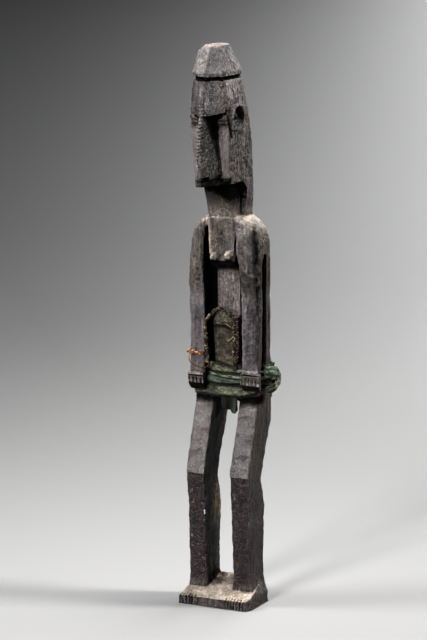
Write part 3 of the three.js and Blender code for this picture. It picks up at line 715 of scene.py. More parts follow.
def carve(p, n):
    """Tool marks: how far they push each point out, how much painted shade their dents get, and how coarse it
    is.
    """
    x, y, z = p.T
    out, ahead = np.abs(x), -n[:, 1]
    front = smooth(ahead, 0.55, 0.8)
    flank = smooth(np.abs(n[:, 0]), 0.6, 0.85)
    head = smooth(z, 452, 460)
    cap = smooth(z, 573, 576)
    shin = band(z, 27, 141, 2)
    thigh = band(z, 145, 220, 3) * front
    arm = band(z, 256, 400, 6) * (out > 19) * front
    trunk = band(z, 262, 364, 3) * (out < 17) + band(z, 380, 452, 3) * (out < 18)
    cheek = band(z, 462, 516, 2) * smooth(out, 8.5, 10.5) * smooth(ahead, 0.8, 0.95) * (y > -34.5)
    marked = (1 - np.clip(trunk * 0.85 + cheek + 0.6 * cap, 0, 1)) * (1 - 0.85 * thigh)
    busy = np.clip(shin + head * flank * 0.9 + band(z, 345, 405, 5) * (out > 20) * 0.7, 0, 1)

    adze, _ = strokes(p, (11, 11, 15), 31)
    scoop, _ = strokes(p, (24, 16, 12), 71)
    small, deep = strokes(p, (3.4, 3.4, 4.1), 47)
    dent = (1 - small) * smooth(deep, 0.25, 0.8)
    move = 0.42 * fractal(p, (26, 26, 48), 1) + 0.22 * fractal(p, (1.9, 1.9, 34), 83, 2) * (1 - 0.5 * head)
    move -= marked * (0.75 * (1 - adze) + (0.28 + 0.42 * busy * (1 - 0.5 * shin)) * dent)
    move -= (1 - scoop) * (1.5 * thigh + 0.35 * band(z, 560, 604, 3))
    dent_shade = np.clip(dent * (0.25 + 0.75 * busy * (1 - 0.4 * shin)) * marked, 0, 1)
    coarse = 1 - np.clip(0.8 * thigh + cheek + 0.1 * cap + 0.35 * arm + 0.3 * trunk, 0, 1)
    return move, dent_shade, coarse


def sculpt(p, n):
    """The small carved features, cut crisply. Gives the moved points and how much painted shade each cut
    gets.
    """
    x, y, z = p.T
    out, ahead = np.abs(x), -n[:, 1]
    p = p.copy()
    cuts = []

    # the ear's bowl, its drilled hole and the flat rim round them, with painted shade in the hole and on the
    # bowl's upper back side
    for side, centre in EARS:
        near = (x * side > 18) & (np.abs(z - EAR_Z) < 17) & (np.abs(y - centre) < 17)
        bowl = np.hypot(y - centre - 1.3, z - EAR_Z - 0.6)
        hole = np.hypot(y - centre + 3.6, z - EAR_Z + 0.4)
        sink = near * smooth(11.0 - bowl, 0, 2.2) * smooth(hole, 3.6, 4.6)
        drill = near * (1 - smooth(hole, 1.3, 2.1))
        p[:, 0] += side * (0.9 * near * band(bowl, 10.8, 13.6, 0.5) - 2.6 * sink - 4.0 * drill)
        cuts += [drill, 0.6 * sink * smooth(0.75 * (y - centre) + 0.6 * (z - EAR_Z), 0.5, 9)]

    # the cuts before the ears and across the eyelids, with painted shade in them
    for start, end, into, wide, deep in NOTCHES:
        start, end, into = (np.array(v, float) for v in (start, end, into))
        into = unit(into)
        along = end - start
        across = unit(np.cross(along, into))
        t = ((p - start) @ along) / (along @ along)
        off = np.abs((p - start) @ across)
        near = np.abs((p - start) @ into) < 6
        share = near * band(t, 0.015, 0.985, 0.045) * np.clip(1 - off / (wide * 0.62), 0, 1)
        p += into * (deep * share)[:, None]
        cuts.append(smooth(share, 0.1, 0.6))

    # the nicks down the ridge of the nose and forehead, with some painted shade in them
    ridge = band(z, 468, 560, 3) * smooth(-y, 45, 47.5) * (1 - smooth(out, 2.4, 4.2))
    ridge = ridge * smooth(ahead, -0.2, 0.2)
    nick = smooth(np.cos(z * FULL_TURN / 3.5 + 1.3 * noise(p, (40, 40, 9), 331)), 0.35, 0.9)
    nick = ridge * nick * (0.3 + 0.7 * band(z, 485, 545, 8))
    p[:, 1] += 0.75 * nick
    cuts.append(0.5 * nick)

    # the ragged undercut below the cap, with painted shadow in it
    ragged = 0.8 * noise(p, (3, 3, 40), 341)
    under = band(z, 566.2 + ragged, 570.3 + 0.5 * ragged, 0.5) * smooth(-y, -6, 2)
    away = np.stack([x, (y + 20) * 0.9, 0 * x], 1)
    p -= away / np.maximum(np.linalg.norm(away, axis=1), 1e-6)[:, None] * (1.9 * under)[:, None]
    cuts.append(under * 0.95)

    # the hands: a lip and a painted line of shade above the fingers, grooves between them, and a front set
    # back below; painted shade lies in the grooves and on the set-back front
    hand = (y < 6) & (out > 19.5) & (z > 226) & (z < 256)
    knuckle = np.where(x > 0, *KNUCKLES)
    top = knuckle + np.where(x > 0, 3.4, 0)
    p[:, 1] += hand * np.clip(knuckle - z, 0, 12) * 0.42 * smooth(ahead, 0, 0.5)
    cuts.append(0.8 * hand * smooth(knuckle - z, -0.3, 1.0) * smooth(ahead, -0.1, 0.4))
    ledge = hand * band(z, top + 6.8, top + 8, 0.35) * smooth(ahead, 0.3, 0.7)
    lip = hand * band(z, top + 8.4, top + 11.6, 0.5) * smooth(ahead, -0.2, 0.3)
    p[:, 1] += 0.8 * ledge - 0.9 * lip
    fingers = (x - np.where(x > 0, 23.2, -39.6)) * FULL_TURN / np.where(x > 0, 4.1, 4.3)
    groove = hand * smooth(np.cos(fingers), 0.6, 0.97) * smooth(ahead, 0.2, 0.6)
    groove = groove * band(z, knuckle - 1, top + 4.6 + 1.6 * noise(p, (4, 9, 9), 351), 0.6)
    p[:, 1] += 1.5 * groove
    cuts += [ledge, groove]

    # the toes: chisel cuts down the front of the base at each foot, with painted shade in them
    toes = (y < -21) & (z < 14)
    for middle in TOES:
        at = (x - middle) / 3.4 + 0.35 * noise(p, (9, 99, 5), 361)
        cutting = toes * (np.abs(x - middle) < 11.5) * smooth(np.cos(at * FULL_TURN), 0.1, 0.85)
        cut = np.stack([np.round(at), 0 * at, 0 * at], 1).astype(np.int64)
        cutting = cutting * (0.35 + 0.65 * chance(cut, 17))
        p[:, 1] += 2.2 * cutting * smooth(ahead, -0.2, 0.4)
        p[:, 2] -= 1.2 * cutting * smooth(n[:, 2], 0.2, 0.7) * smooth(-y, 22, 24)
        cuts.append(0.75 * cutting)

    # the breasts, and painted shadow below them and below the chin
    for side in (1, -1):
        far = np.linalg.norm((p - (side * 8.6, -9.5, 378.6 + 1.3 * side)) / (5.2, 5, 4.4), axis=1)
        p[:, 1] -= 1.7 * (1 - smooth(far, 0.2, 1.1)) * (y < -5)
    under = (np.abs(z - 370.5) < 5) & (y < -4) & (out < 15)
    cuts.append(0.85 * under * smooth(-n[:, 2], 0.05, 0.4))
    cuts.append(0.8 * band(z, 455.5, 465, 0.6) * smooth(x, 0.5, 4) * (y < -24) * (y > -60))
    return p, np.clip(np.max(cuts, axis=0), 0, 1)


def crack(p, start, end, width, seed):
    """1 along a wandering drying crack from start to end, falling to 0 over its width."""
    start, end = np.array(start, float), np.array(end, float)
    line = end - start
    t = np.clip(((p - start) @ line) / (line @ line), 0, 1)
    away = p - start - t[:, None] * line
    away = away + 0.9 * wander(p * (0, 0, 1), (9, 9, 7), seed) * (1, 1, 0)
    taper = smooth(t, 0, 0.2) * (1 - smooth(t, 0.75, 1))
    return taper * (1 - smooth(np.linalg.norm(away, axis=1), width * 0.3, width))


def shadowed(p, n, shut):
    """Painted shade: in the recesses, beside the trunk, below the chest, the jaw and the cloth, under the
    brow and beside the belly cloth, and a dark streak down the left arm.
    """
    x, y, z = p.T
    out = np.abs(x)
    ragged = fractal(p, (4, 4, 5), 411, 2)
    ear = (out > 17) * (np.abs(z - EAR_Z) < 18) * (y < 9) * (y > -38)
    neck = (1 - smooth(z, 430, 441)) * (z > 415) * (out < 25)
    deep = smooth(shut, 0.42, 0.78) * (1 - ear) * (1 - 0.85 * neck)
    gaps = band(z, 258, 402, 5) * (out > 13) * (out < 27) * smooth(y, 1, 8) * smooth(shut, 0.2, 0.45)
    chest = band(z, 365.0 + 1.8 * ragged, 373.2 + 1.2 * ragged, 0.8) * (out < 15.5) * (y < 6)
    chest = chest * smooth(-n[:, 1], -0.9, 0.2)
    lower = smooth(x, -4, 14)
    jaw = smooth(z + 2 * ragged, 442 - 14 * lower, 453 - 8 * lower)
    jaw = jaw * (z < 461) * (y > -30) * (y < 12) * (out < 21.5)
    hem = smooth(z + 2 * ragged, 213, 222) * (1 - smooth(z, 226, 230)) * (1 - smooth(y, 14, 30))
    low = 1 - smooth(z, 482, 528)
    brow = smooth(y + 47 - 10 * low + ragged, -2.5, 3.5) * (y < -30) * (1 - 0.6 * low)
    brow = brow * (z > 474) * (1 - smooth(z, 530, 532)) * (x > 2) * (1 - smooth(x, 10, 12))

    # the streak down the left arm
    middle = np.interp(z, (262, 300, 345, 380, 407), (34, 34.3, 35.4, 34.4, 32.8))
    wide = np.interp(z, (262, 330, 350, 407), (4.6, 4.6, 3.8, 3.2))
    strength = np.interp(z, (262, 290, 325, 350, 411), (0.45, 0.6, 0.75, 0.95, 0.95))
    strength = strength * (0.6 + 0.4 * smooth(ragged, -0.35, 0.25)) * (x > 22) * (y < 14)
    across = ARM_ACROSS[0] * x + ARM_ACROSS[1] * y
    arm_streak = np.exp(-(((across - middle - 2.6 * ragged) / wide) ** 2)) * band(z, 262, 411, 6) * strength
    beside_cloth = 0.95 * band(z, 258, 312, 4) * smooth(x, 7.5, 9.5) * (x < 19) * (y > 1)
    return np.clip(np.max([deep, gaps, chest, jaw, hem, brow, arm_streak, beside_cloth], axis=0), 0, 1)


def wood_tint(p, n, dent_shade, recess_shade):
    """The wood's colour at each point, with painted light and shade laid in it, and how much tan lies there
    as dust and as painted light.
    """
    x, y, z = p.T
    out, ahead = np.abs(x), -n[:, 1]
    front = smooth(ahead, 0.5, 0.8)
    inner = smooth(n[:, 0] * np.sign(x) * -1, 0.4, 0.8)
    patch = fractal(p, (16, 16, 30), 301)
    cloud = fractal(p, (7, 7, 9), 311)
    fine = fractal(p, (3, 3, 4), 321, 2)

    paint = Paint(p, mix(GREY_BROWN, PURPLE_GREY, smooth(patch, -0.3, 0.4)))
    paint.lay(UMBER, smooth(cloud, 0.05, 0.5) * 0.5)
    paint.lay(DARK * 1.5, patches(p, (9, 9, 22), 351, 0.02, 0.42) * 0.72)
    paint.scale(1 + 0.45 * patches(p, (7, 7, 16), 355, 0.0, 0.5))

    # the legs
    shin = band(z, 24, 142, 2.5)
    thigh = band(z, 144, 226, 2)
    paint.lay(dimmed(SHIN_BROWN, 0.75 + 0.8 * smooth(fine, 0.0, 0.6)), shin * (0.75 + 0.25 * front))
    pale = 0.52 + 0.3 * smooth(patch, -0.2, 0.5) - 0.21 * (x > 0)
    paint.lay(dimmed(PALE_GREY, pale), thigh * front * 0.8)
    paint.lay(UMBER, thigh * (1 - front) * 0.7)
    # painted light: a warm pool of rim light on the back of the right leg's inner face
    paint.lay(WARM_LIGHT, band(z, 88, 132, 12) * inner * smooth(y, 0, 16) * smooth(-x, 0, 3) * 0.85)

    # the face, the sides of the head, the cap's facets and the neck
    # painted light on the cheek planes
    cheek = band(z, 462, 517, 2) * smooth(out, 8, 10.5) * smooth(ahead, 0.8, 0.95) * (y > -35)
    paint.lay(PALE_GREY, cheek)
    nose_side = band(z, 464, 532, 2) * (y < -33) * smooth(np.abs(n[:, 0]), 0.3, 0.6)
    paint.lay(UMBER * 0.7, nose_side * 0.35)
    paint.scale(1 - 0.22 * band(z, 530, 563, 3) * front)
    # painted shade on the nose's side that faces the figure's left, deeper up towards the brow
    paint.lay(DARK * 1.3, nose_side * smooth(n[:, 0], 0.2, 0.5) * (0.5 + 0.5 * smooth(z, 480, 512)))
    # painted highlight down the ridge of the nose and forehead
    paint.lay(PALE_GREY * 1.25, band(z, 468, 562, 4) * (1 - smooth(out, 1.4, 2.6)) * smooth(-y, 45, 48) * 0.8)
    # painted light on the sides of the head, stronger towards the top
    side_of_head = smooth(z, 462, 470) * smooth(np.abs(n[:, 0]), 0.7, 0.9) * (y > -32)
    pale = 0.8 + 0.9 * smooth(z, 525, 560)
    paint.lay(dimmed(PALE_GREY, pale), side_of_head * (0.5 + 0.4 * smooth(z, 520, 560)))
    # painted light and shade on the cap's facets: pale on the figure's right half, dark just left of the
    # middle, paler again on its left side
    facets = 0.24 + 1.45 * (1 - smooth(x, 0.5, 4)) + 0.5 * smooth(x, 13, 18)
    paint.lay(dimmed(PALE_GREY, facets), smooth(z, 572, 575) * 0.85)
    # painted shadow on the neck below the jaw, deepest up near the jaw and towards the figure's left
    neck = smooth(z, 424, 446) * (1 - smooth(z, 456, 460)) * (y < 11) * (out < 21)
    paint.lay(dimmed(DARK, 1.2 + 1.6 * (1 - smooth(z, 430, 444)) * (1 - 0.6 * smooth(x, 4, 14))), neck * 0.95)
    for side, centre in EARS:
        reach = np.hypot(y - centre - 1.3, z - EAR_Z - 0.6)
        ear = x * side > 19
        paint.lay(PALE_GREY * 1.35, ear * (np.abs(z - EAR_Z) < 17) * band(reach, 10.4, 14.6, 0.8) * 0.7)
        paint.lay(PALE_GREY * 1.1, ear * (1 - smooth(reach, 9, 11)) * 0.6)

    # the hands, with painted light and shade, and the bits knocked off the shins
    hand = (y < 1) * (out > 20)
    top = np.where(x > 0, *HAND_TOPS)
    # painted highlight along the hands' top edges, painted shade just below them, and painted highlights on
    # the finger tips
    edge = (y < 1.5) * (out > 20) * band(z, top - 1.9, top + 1.6, 0.5)
    paint.lay(dimmed(PALE_GREY, np.where(x > 0, 2.3, 1.5)), edge * 0.85)
    paint.lay(GREY_BROWN * 0.75, hand * band(z, top - 10, top - 3.2, 0.6) * 0.8)
    tips = band(z - np.where(x > 0, *KNUCKLES), -0.4, 2.6 + 0.8 * fine, 0.5)
    paint.lay(PALE_GREY * 2.1, hand * tips * 0.8)
    paint.lay(FLECK, patches(p, (1.7, 1.7, 2.2), 363, 0.6, 0.85, 1) * shin * front * 0.5)
    paint.lay(BARE_WOOD, (np.abs(x + 16.6) < 1.3) * (np.abs(z - 100) < 2.4) * (n[:, 1] < -0.3) * 0.9)

    # the arms and what shows between the limbs
    # painted highlight across the fronts of the elbows
    paint.lay(PALE_GREY, band(z, 322, 341, 3) * front * (out > 21) * 0.75)
    paint.lay(DARK * 1.5, band(z, 339, 364, 7) * front * (x > 21) * (0.5 + 0.4 * smooth(fine, -0.2, 0.2)))
    paint.lay(PURPLE, band(z, 256, 335, 8) * (out > 20) * (y < 14) * 0.5)
    smear = patches(p, (5, 5, 26), 367, 0.0, 0.35) * band(z, 262, 402, 5) * front * (out > 21)
    paint.lay(DARK * 1.8, smear * 0.6)
    paint.lay(UMBER, (x > 40) * band(z, 262, 380, 6) * 0.4)
    bevel = (x > 24) * (y < 6) * smooth(n[:, 0], 0.3, 0.5) * smooth(ahead, 0.25, 0.5)
    paint.lay(DARK * 1.4, bevel * band(z, 342, 408, 8) * 0.35)
    # painted shade along the right arm's inner front edge
    paint.lay(UMBER * 0.6, band(z, 345, 404, 8) * smooth(x, -31, -28) * (x < -20) * (y < 8) * 0.5)
    # painted shade on the legs' inner faces, towards the front
    paint.lay(DARK * 1.6, inner * band(z, 30, 224, 6) * (1 - smooth(y, 10, 24)) * 0.75)
    # painted light: rim light falling on the right leg's inner faces, towards their back
    rim_light_pool = band(z, 84, 136, 14) * smooth(y, -2, 11) + 0.4 * band(z, 145, 200, 8) * smooth(y, 12, 24)
    paint.lay(RIM_LIGHT, rim_light_pool * inner * (x < 0) * (0.5 + 0.4 * smooth(cloud, -0.3, 0.3)))
    paint.lay(UMBER * 0.8, (1 - smooth(z, 24, 34)) * (x > 38) * 0.85)
    # painted light on the front of the belly below the chest
    paint.lay(PALE_GREY * 1.25, band(z, 318, 360, 4) * (out < 16) * front * 0.55)

    # dust on the base, the shoulders and the top of the cap, and painted light on the tops of the breasts and
    # on the chest's right edge
    up = smooth(n[:, 2], 0.3, 0.8)
    dust_and_light = band(z, 8, 29, 2) * 1.2 + smooth(z + 3 * cloud, 407, 424) * (z < 430) * 0.85
    dust_and_light = up * (dust_and_light + smooth(z, 599, 602) * 0.8)
    sloping = smooth(n[:, 2], 0.05, 0.3) * (1 - 0.8 * smooth(x, 36, 39))
    dust_and_light = dust_and_light + (1 - smooth(z, 13, 26)) * smooth(z, 8.5, 11.5) * sloping
    shoulder = smooth(z + 3 * fine + 0.35 * out, 409, 426) * (1 - smooth(z, 424, 430))
    shoulder = shoulder * (0.35 + 0.65 * smooth(n[:, 2], -0.1, 0.5)) * (z > 400)
    dust_and_light = dust_and_light + 0.45 * shoulder * (0.45 + 0.55 * smooth(cloud, -0.25, 0.25))
    dust_and_light = dust_and_light + (1 - smooth(z, 425, 433)) * (z > 419) * 0.25 * smooth(fine, -0.1, 0.4)
    # painted light on the upper faces of the breasts
    dust_and_light = dust_and_light + (np.abs(z - 379) < 8) * (y < -4.5) * (out < 17) * smooth(n[:, 2], -0.35, 0.15) * 0.6
    for side in (1, -1):
        far = np.linalg.norm((p - (side * 8.6, -11, 379.2 + 1.3 * side)) / (5.6, 6, 4.6), axis=1)
        dust_and_light = dust_and_light + (1 - smooth(far, 0.7, 1.1)) * (z > 374.5) * 0.8
    # painted light on the chest's right edge
    dust_and_light = dust_and_light + band(z, 374, 420, 6) * smooth(-x, 11.5, 15.5) * (out < 19) * (y < 4) * 0.55
    dust_and_light = np.clip(dust_and_light, 0, 1) * (0.7 + 0.3 * smooth(cloud, -0.4, 0.2))
    dust_and_light = dust_and_light * (0.8 + 0.2 * smooth(fine, -0.4, 0.3))
    paint.lay(TAN, dust_and_light)
    # painted shade in the tool dents and the recesses, less where tan lies
    paint.lay(DARK, np.clip(dent_shade * 0.75 * (1 - dust_and_light * 0.8) + recess_shade * 0.8 * (1 - dust_and_light * 0.75), 0, 1))
    return paint.tint, dust_and_light


def wear_and_highlight_share(p):
    """Where the edges are pale from handling, with painted highlights on the hands' top edges, the cap, the
    knees, the ridge of the nose, the elbows and the breasts.
    """
    x, y, z = p.T
    out = np.abs(x)
    share = 0.1 + 0.5 * patches(p, (6, 6, 9), 401, 0.0, 0.5)
    share = share + 0.8 * band(z, 248, 254.5, 1.0) * (y < 2) * (out > 20) + 0.35 * smooth(z, 571, 575)
    share = share + 0.45 * band(z, 141, 147, 2) + 0.35 * band(z, 468, 560, 3) * (y < -45)
    share = share + 0.3 * (out > 20) * band(z, 322, 344, 4)
    share = share + 0.4 * band(z, 362, 390, 3) * (y < -5) * (out < 17)
    return share * (1 - 0.7 * band(z, 28, 138, 3)) * (1 - 0.6 * band(z, 424, 458, 4))


def make_carving():
    mesh, tree = remeshed("carved_figure")
    p, n, edges = arrays(mesh)
    shut = shelter(p, n, edges, tree)
    n = unit(averaged(n, edges, 2))
    x, y, z = p.T

    move, dent_shade, coarse = carve(p, n)
    split = np.max([crack(p, a, b, w, 200 + 7 * i) for i, (a, b, w) in enumerate(CRACKS)], axis=0)
    move -= 1.3 * split
    covered = band(z, 222, 262, 1.5) * smooth(y, 1, 6) * (np.abs(x) < 50)
    hand = band(z, 226, 256, 1) * (y < 7) * (np.abs(x) > 20)
    move = np.where(covered > 0.5, np.minimum(move, 0) - 0.2, move)
    move *= (1 - 0.75 * hand) * (0.15 + 0.85 * smooth(z, 0.3, 3))
    move = np.clip(move - 0.12, -2.0, 0.5)
    carved, cut_shade = sculpt(p + n * move[:, None], n)
    carved[:, 2] = np.maximum(carved[:, 2], 0)
    shoulder = band(z, 393, 417, 5) * smooth(np.abs(x), 16.5, 19) * (1 - smooth(y, 2, 8))
    carved = carved + (averaged(carved, edges, 60) - carved) * shoulder[:, None]

    near = carved - averaged(carved, edges, 2)
    far = carved - averaged(carved, edges, 14)
    ridge = averaged((near * n).sum(1) * 4.2 + (far * n).sum(1) * 0.55, edges, 1)
    # painted shade where the surface is concave and where the carving round it shuts it in
    recess_shade = np.clip(smooth(-ridge, 0.12, 0.6) * 0.8 + smooth(shut, 0.22, 0.7), 0, 1)
    recess = shadowed(carved, n, shut)
    tint, dust_and_light = wood_tint(carved, n, dent_shade, recess_shade)
    # painted shade from shadowed(), then the dark of the cracks together with the painted shade in the cuts
    tint = mix(tint, DARK * 0.4, recess * 0.95)
    tint = mix(tint, DARK * 0.35, np.clip(split + cut_shade, 0, 1))
    wear_and_highlight = smooth(ridge, 0.2, 0.7) * wear_and_highlight_share(carved) * (1 - np.maximum(cut_shade, recess))
    deep = np.max([recess, cut_shade, 0.9 * split], axis=0)

    mesh.vertices.foreach_set("co", (carved * MM).astype(np.float32).ravel())
    mesh.update()
    paint_mesh(mesh, tint)
    for name, values in (("wear_and_highlight", wear_and_highlight), ("coarse", coarse * (1 - 0.8 * dust_and_light))):
        layer = mesh.attributes.new(name, "FLOAT", "POINT")
        layer.data.foreach_set("value", np.clip(values, 0, 1).astype(np.float32))
    mesh.materials.clear()
    for material in (WOOD, HALF_SHADE_WOOD, DEEP_SHADE_WOOD):
        mesh.materials.append(material)
    first = np.zeros(len(mesh.polygons), np.int32)
    corners = np.zeros(len(mesh.loops), np.int32)
    mesh.polygons.foreach_get("loop_start", first)
    mesh.loops.foreach_get("vertex_index", corners)
    # faces in painted shade, and in the cracks, take the half-shaded or deep-shaded copy of the wood
    shaded_copy = (deep > 0.3).astype(np.int32) + (deep > 0.7)
    mesh.polygons.foreach_set("material_index", shaded_copy[corners[first]])
    finish_piece("figure_wood", mesh, "aged_wood", "carved_figure")


make_carving()

# ---------------------------------------------------------------- cloth round the hips

AROUND = 420  # points round the hips
WRAP_ROWS = 64
SASH_ROWS = 44
WRAP_THICK = 1.0
SASH_THICK = 0.9
WRAP_LEVELS = [
    # height, half width, front, lap, back
    (223, 41.4, 4.8, 5, 49.2), (230, 42, 4.4, 6.8, 48.8), (236.6, 42, 5, 7.4, 46.6),
    (238, 41.2, 8, 9.8, 45.4), (251, 41.6, 8.2, 13, 40), (252.2, 42, 6, 12, 40.4), (260, 41.8, 7.2, 12.8, 38),
]
SASH_LEVELS = [
    (238.4, 43, 4.8, 7, 47.4), (244, 43.6, 3.8, 7.2, 46), (246.8, 43.6, 4.2, 9.6, 44.4),
    (250.6, 43.2, 5, 10.6, 42.2),
]
OLIVE_TINT = linear(67, 69, 58)
PALE_OLIVE = linear(85, 88, 74)
BLUE_GREEN = linear(67, 76, 66)
DEEP_GREEN = linear(20, 24, 20)
FRAYED_RIM = linear(118, 118, 98)
TAIL_LIT_AND_SHADED = (linear(26, 32, 24), linear(5, 7, 5))


def mirrored(left):
    return np.array([(-x, y) for x, y in reversed(left)] + left, float)


def plan_steps():
    """How many points each straight part of the plan gets."""
    ring = mirrored([(11, 5), (17.5, 6), (20.4, 8), (38, 9), (41.4, 14),
                     (42, 24), (42, 36), (39, 43), (31, 47)])
    sides = np.linalg.norm(np.roll(ring, -1, axis=0) - ring, axis=1)
    steps = np.maximum(2, np.round(AROUND * sides / sides.sum())).astype(int)
    steps[-1] += AROUND - steps.sum()
    return steps


PLAN_STEPS = plan_steps()


def outline(half, front, lap, back):
    """The plan of the cloth at one height, as in the CAD model, with rounded corners."""
    ring = mirrored([(11, front), (17.5, front + 0.8), (20.4, lap), (half - 4, lap + 1),
                     (half - 0.6, lap + 5.5), (half, 24), (half, back - 11), (half - 3, back - 4),
                     (half - 11, back)])
    points = []
    for start, end, steps in zip(ring, np.roll(ring, -1, axis=0), PLAN_STEPS):
        t = np.linspace(0, 1, steps, endpoint=False)[:, None]
        points.append(start * (1 - t) + end * t)
    points = np.concatenate(points)
    for _ in range(10):
        points = 0.5 * points + 0.25 * (np.roll(points, 1, axis=0) + np.roll(points, -1, axis=0))
    return points


def shell(front, back, faces, rim):
    """A thin closed sheet from its two sides. faces join the front's points, and rim is its edges."""
    count = len(front)
    faces = faces + [tuple(count + k for k in reversed(face)) for face in faces]
    return np.concatenate([front, back]), faces + [(b, a, count + a, count + b) for a, b in rim]


def wrapped(levels, heights, offsets, thick):
    """A closed shell of cloth round the hips. heights and offsets are (row, point) grids in millimetres."""
    zs = np.array([level[0] for level in levels], float)
    plans = np.array([outline(*level[1:]) for level in levels])
    rows = len(heights)
    outer, inner = np.zeros((rows, AROUND, 3)), np.zeros((rows, AROUND, 3))
    for r, mean in enumerate(heights.mean(axis=1)):
        k = int(np.clip(np.searchsorted(zs, mean) - 1, 0, len(zs) - 2))
        t = np.clip((mean - zs[k]) / (zs[k + 1] - zs[k]), 0, 1)
        plan = plans[k] * (1 - t) + plans[k + 1] * t
        along = np.roll(plan, -1, axis=0) - np.roll(plan, 1, axis=0)
        normal = unit(np.stack([along[:, 1], -along[:, 0]], axis=1))
        if (normal * (plan - (0, 26))).sum() < 0:
            normal = -normal
        outer[r, :, :2] = plan + normal * offsets[r][:, None]
        inner[r, :, :2] = outer[r, :, :2] - normal * thick
    outer[..., 2] = inner[..., 2] = heights
    last = (rows - 1) * AROUND
    bottom = list(zip(range(AROUND), [*range(1, AROUND), 0]))
    top = [(last + b, last + a) for a, b in bottom]
    return shell(outer.reshape(-1, 3), inner.reshape(-1, 3), grid_faces(rows, AROUND), bottom + top)


def hip_rows(x, y, low, high, rows):
    """Heights from low to high in rows, and the points there."""
    heights = low + (high - low) * np.linspace(0, 1, rows)[:, None]
    grid = [np.broadcast_to(x, heights.shape), np.broadcast_to(y, heights.shape), heights]
    return heights, np.stack(grid, axis=-1).reshape(-1, 3)


def fold_lines(points, lean, size, seed, wide=0.14):
    """Thin wandering lines, 1 along each. lean is how much they rise towards the figure's left."""
    return 1 - smooth(np.abs(fractal(points + points[:, :1] * (0, 0, lean), size, seed, 2)), 0.02, wide)


def both_sides(grid):
    return np.tile(grid.ravel(), 2)


def make_hip_cloth():
    x, y = outline(*WRAP_LEVELS[1][1:]).T
    here = np.stack([x, y, 0 * x], 1)
    low = 223 + 3.6 * smooth(x, 14, 32) + 5.4 * smooth(x, 28, 42) + 0.5 * noise(here, (9, 9, 9), 501)
    high = 260 - 5.5 * smooth(x, -16, 14) * (y < 14.5) + 0.4 * noise(here, (7, 7, 7), 502)
    heights, grid = hip_rows(x, y, low, high, WRAP_ROWS)
    wrinkle = fractal(grid + grid[:, :1] * (0, 0, 0.12), (26, 26, 4.2), 510).reshape(heights.shape)
    offsets = -0.9 + 1.1 * wrinkle + 1.3 * np.sin(np.clip((heights - low) / (237 - low), 0, 1) * math.pi)
    offsets = offsets + 1.0 * np.sin(np.clip((heights - 250.5) / (high - 250.5), 0, 1) * math.pi)
    offsets = offsets - np.where(np.abs(x) < 15, 4.0, 2.4) * (1 - smooth(heights - low, 0, 6.5)) ** 2
    offsets = offsets - 1.4 * smooth(heights, high - 1.8, high) ** 2
    offsets = offsets - 0.7 * band(heights, 226.5, 227.3, 0.5) * smooth(wrinkle, -0.4, 0.3)
    offsets = np.minimum(offsets, np.where((np.abs(x) > 19) & (y < 20), -0.3, 0.9))
    points, faces = wrapped(WRAP_LEVELS, heights, offsets, WRAP_THICK)

    level = points[:, 2]
    paint = Paint(points, mix(OLIVE_TINT, PALE_OLIVE, patches(points, (14, 14, 6), 520, -0.2, 0.5, 1)))
    paint.lay(PALE_OLIVE, band(level, 250, 262, 1) * 0.6)
    # painted shade where the sash lies over the wrap
    paint.lay(DEEP_GREEN, smooth(level, 237, 238.4) * (1 - smooth(level, 249, 251)) * 0.9)
    # painted shade in wandering crease lines
    paint.lay(DEEP_GREEN * 0.5, fold_lines(points, 0.2, (17, 17, 3.4), 525) * 0.7)
    paint.mottle((3.4, 3.4, 2.6), 527, 0.8, 0.5)
    # painted shadow along the lower edge, where the cloth turns under
    paint.lay(DEEP_GREEN * 0.12, both_sides(1 - smooth(heights - low, 2.6, 5.4)) * 0.97)
    # painted shadow just above and below the sash
    beside_sash = band(level, 235.4, 239.6, 0.5) + band(level, 249.6, 252.0, 0.6)
    paint.lay(DEEP_GREEN * 0.25, np.clip(beside_sash, 0, 1) * 0.85)
    piece = make_piece("loin_cloth", points, faces, OLIVE, paint.tint, "olive_cloth", "hip_cloth")


def make_sash():
    x, y = outline(*SASH_LEVELS[1][1:]).T
    here = np.stack([x, y, 0 * x], 1)
    low = 238.6 + 0.5 * noise(here, (10, 10, 10), 530) + 1.6 * smooth(x, 2, 18) * (y < 15)
    high = 250.5 - 1.6 * smooth(x, -18, 0) * (y < 15) + 0.3 * noise(here, (8, 8, 8), 531)
    heights, grid = hip_rows(x, y, low, high, SASH_ROWS)
    wrinkle = fractal(grid, (22, 22, 3), 540).reshape(heights.shape)
    fold = high - 3.6 - 1.0 * smooth(x, -10, 16)
    groove = np.exp(-(((heights - fold) / 0.75) ** 2))
    offsets = -0.5 + 0.75 * wrinkle - 2.4 * groove + 0.5 * band(heights, fold + 1.2, high - 0.6, 0.6)
    for edge in (heights - low, high - heights):
        offsets = offsets - 1.3 * (1 - smooth(edge, 0, 1.5)) ** 2
    offsets = np.minimum(offsets, np.where((np.abs(x) > 19) & (y < 20), -0.3, 0.3))
    points, faces = wrapped(SASH_LEVELS, heights, offsets, SASH_THICK)

    paint = Paint(points, mix(BLUE_GREEN, PALE_OLIVE, both_sides(smooth(heights - fold, -0.3, 0.4)) * 0.8))
    paint.lay(DEEP_GREEN, patches(points, (9, 9, 4), 550, 0.1, 0.6, 1) * 0.6)
    # painted shade in wandering crease lines
    paint.lay(DEEP_GREEN * 0.5, fold_lines(points, 0.15, (15, 15, 2.8), 555) * 0.7)
    paint.mottle((3.2, 3.2, 2.2), 557, 0.8, 0.5)
    # painted shade in the fold's groove and along the upper and lower edges
    edge = np.maximum(1 - smooth(heights - low, 0.6, 1.8), 1 - smooth(high - heights, 0.2, 1.0))
    paint.lay(DEEP_GREEN * 0.25, np.clip(both_sides(groove + edge), 0, 1) * 0.9)
    piece = make_piece("folded_sash", points, faces, GREEN, paint.tint, "green_cloth", "sash")


make_hip_cloth()
make_sash()

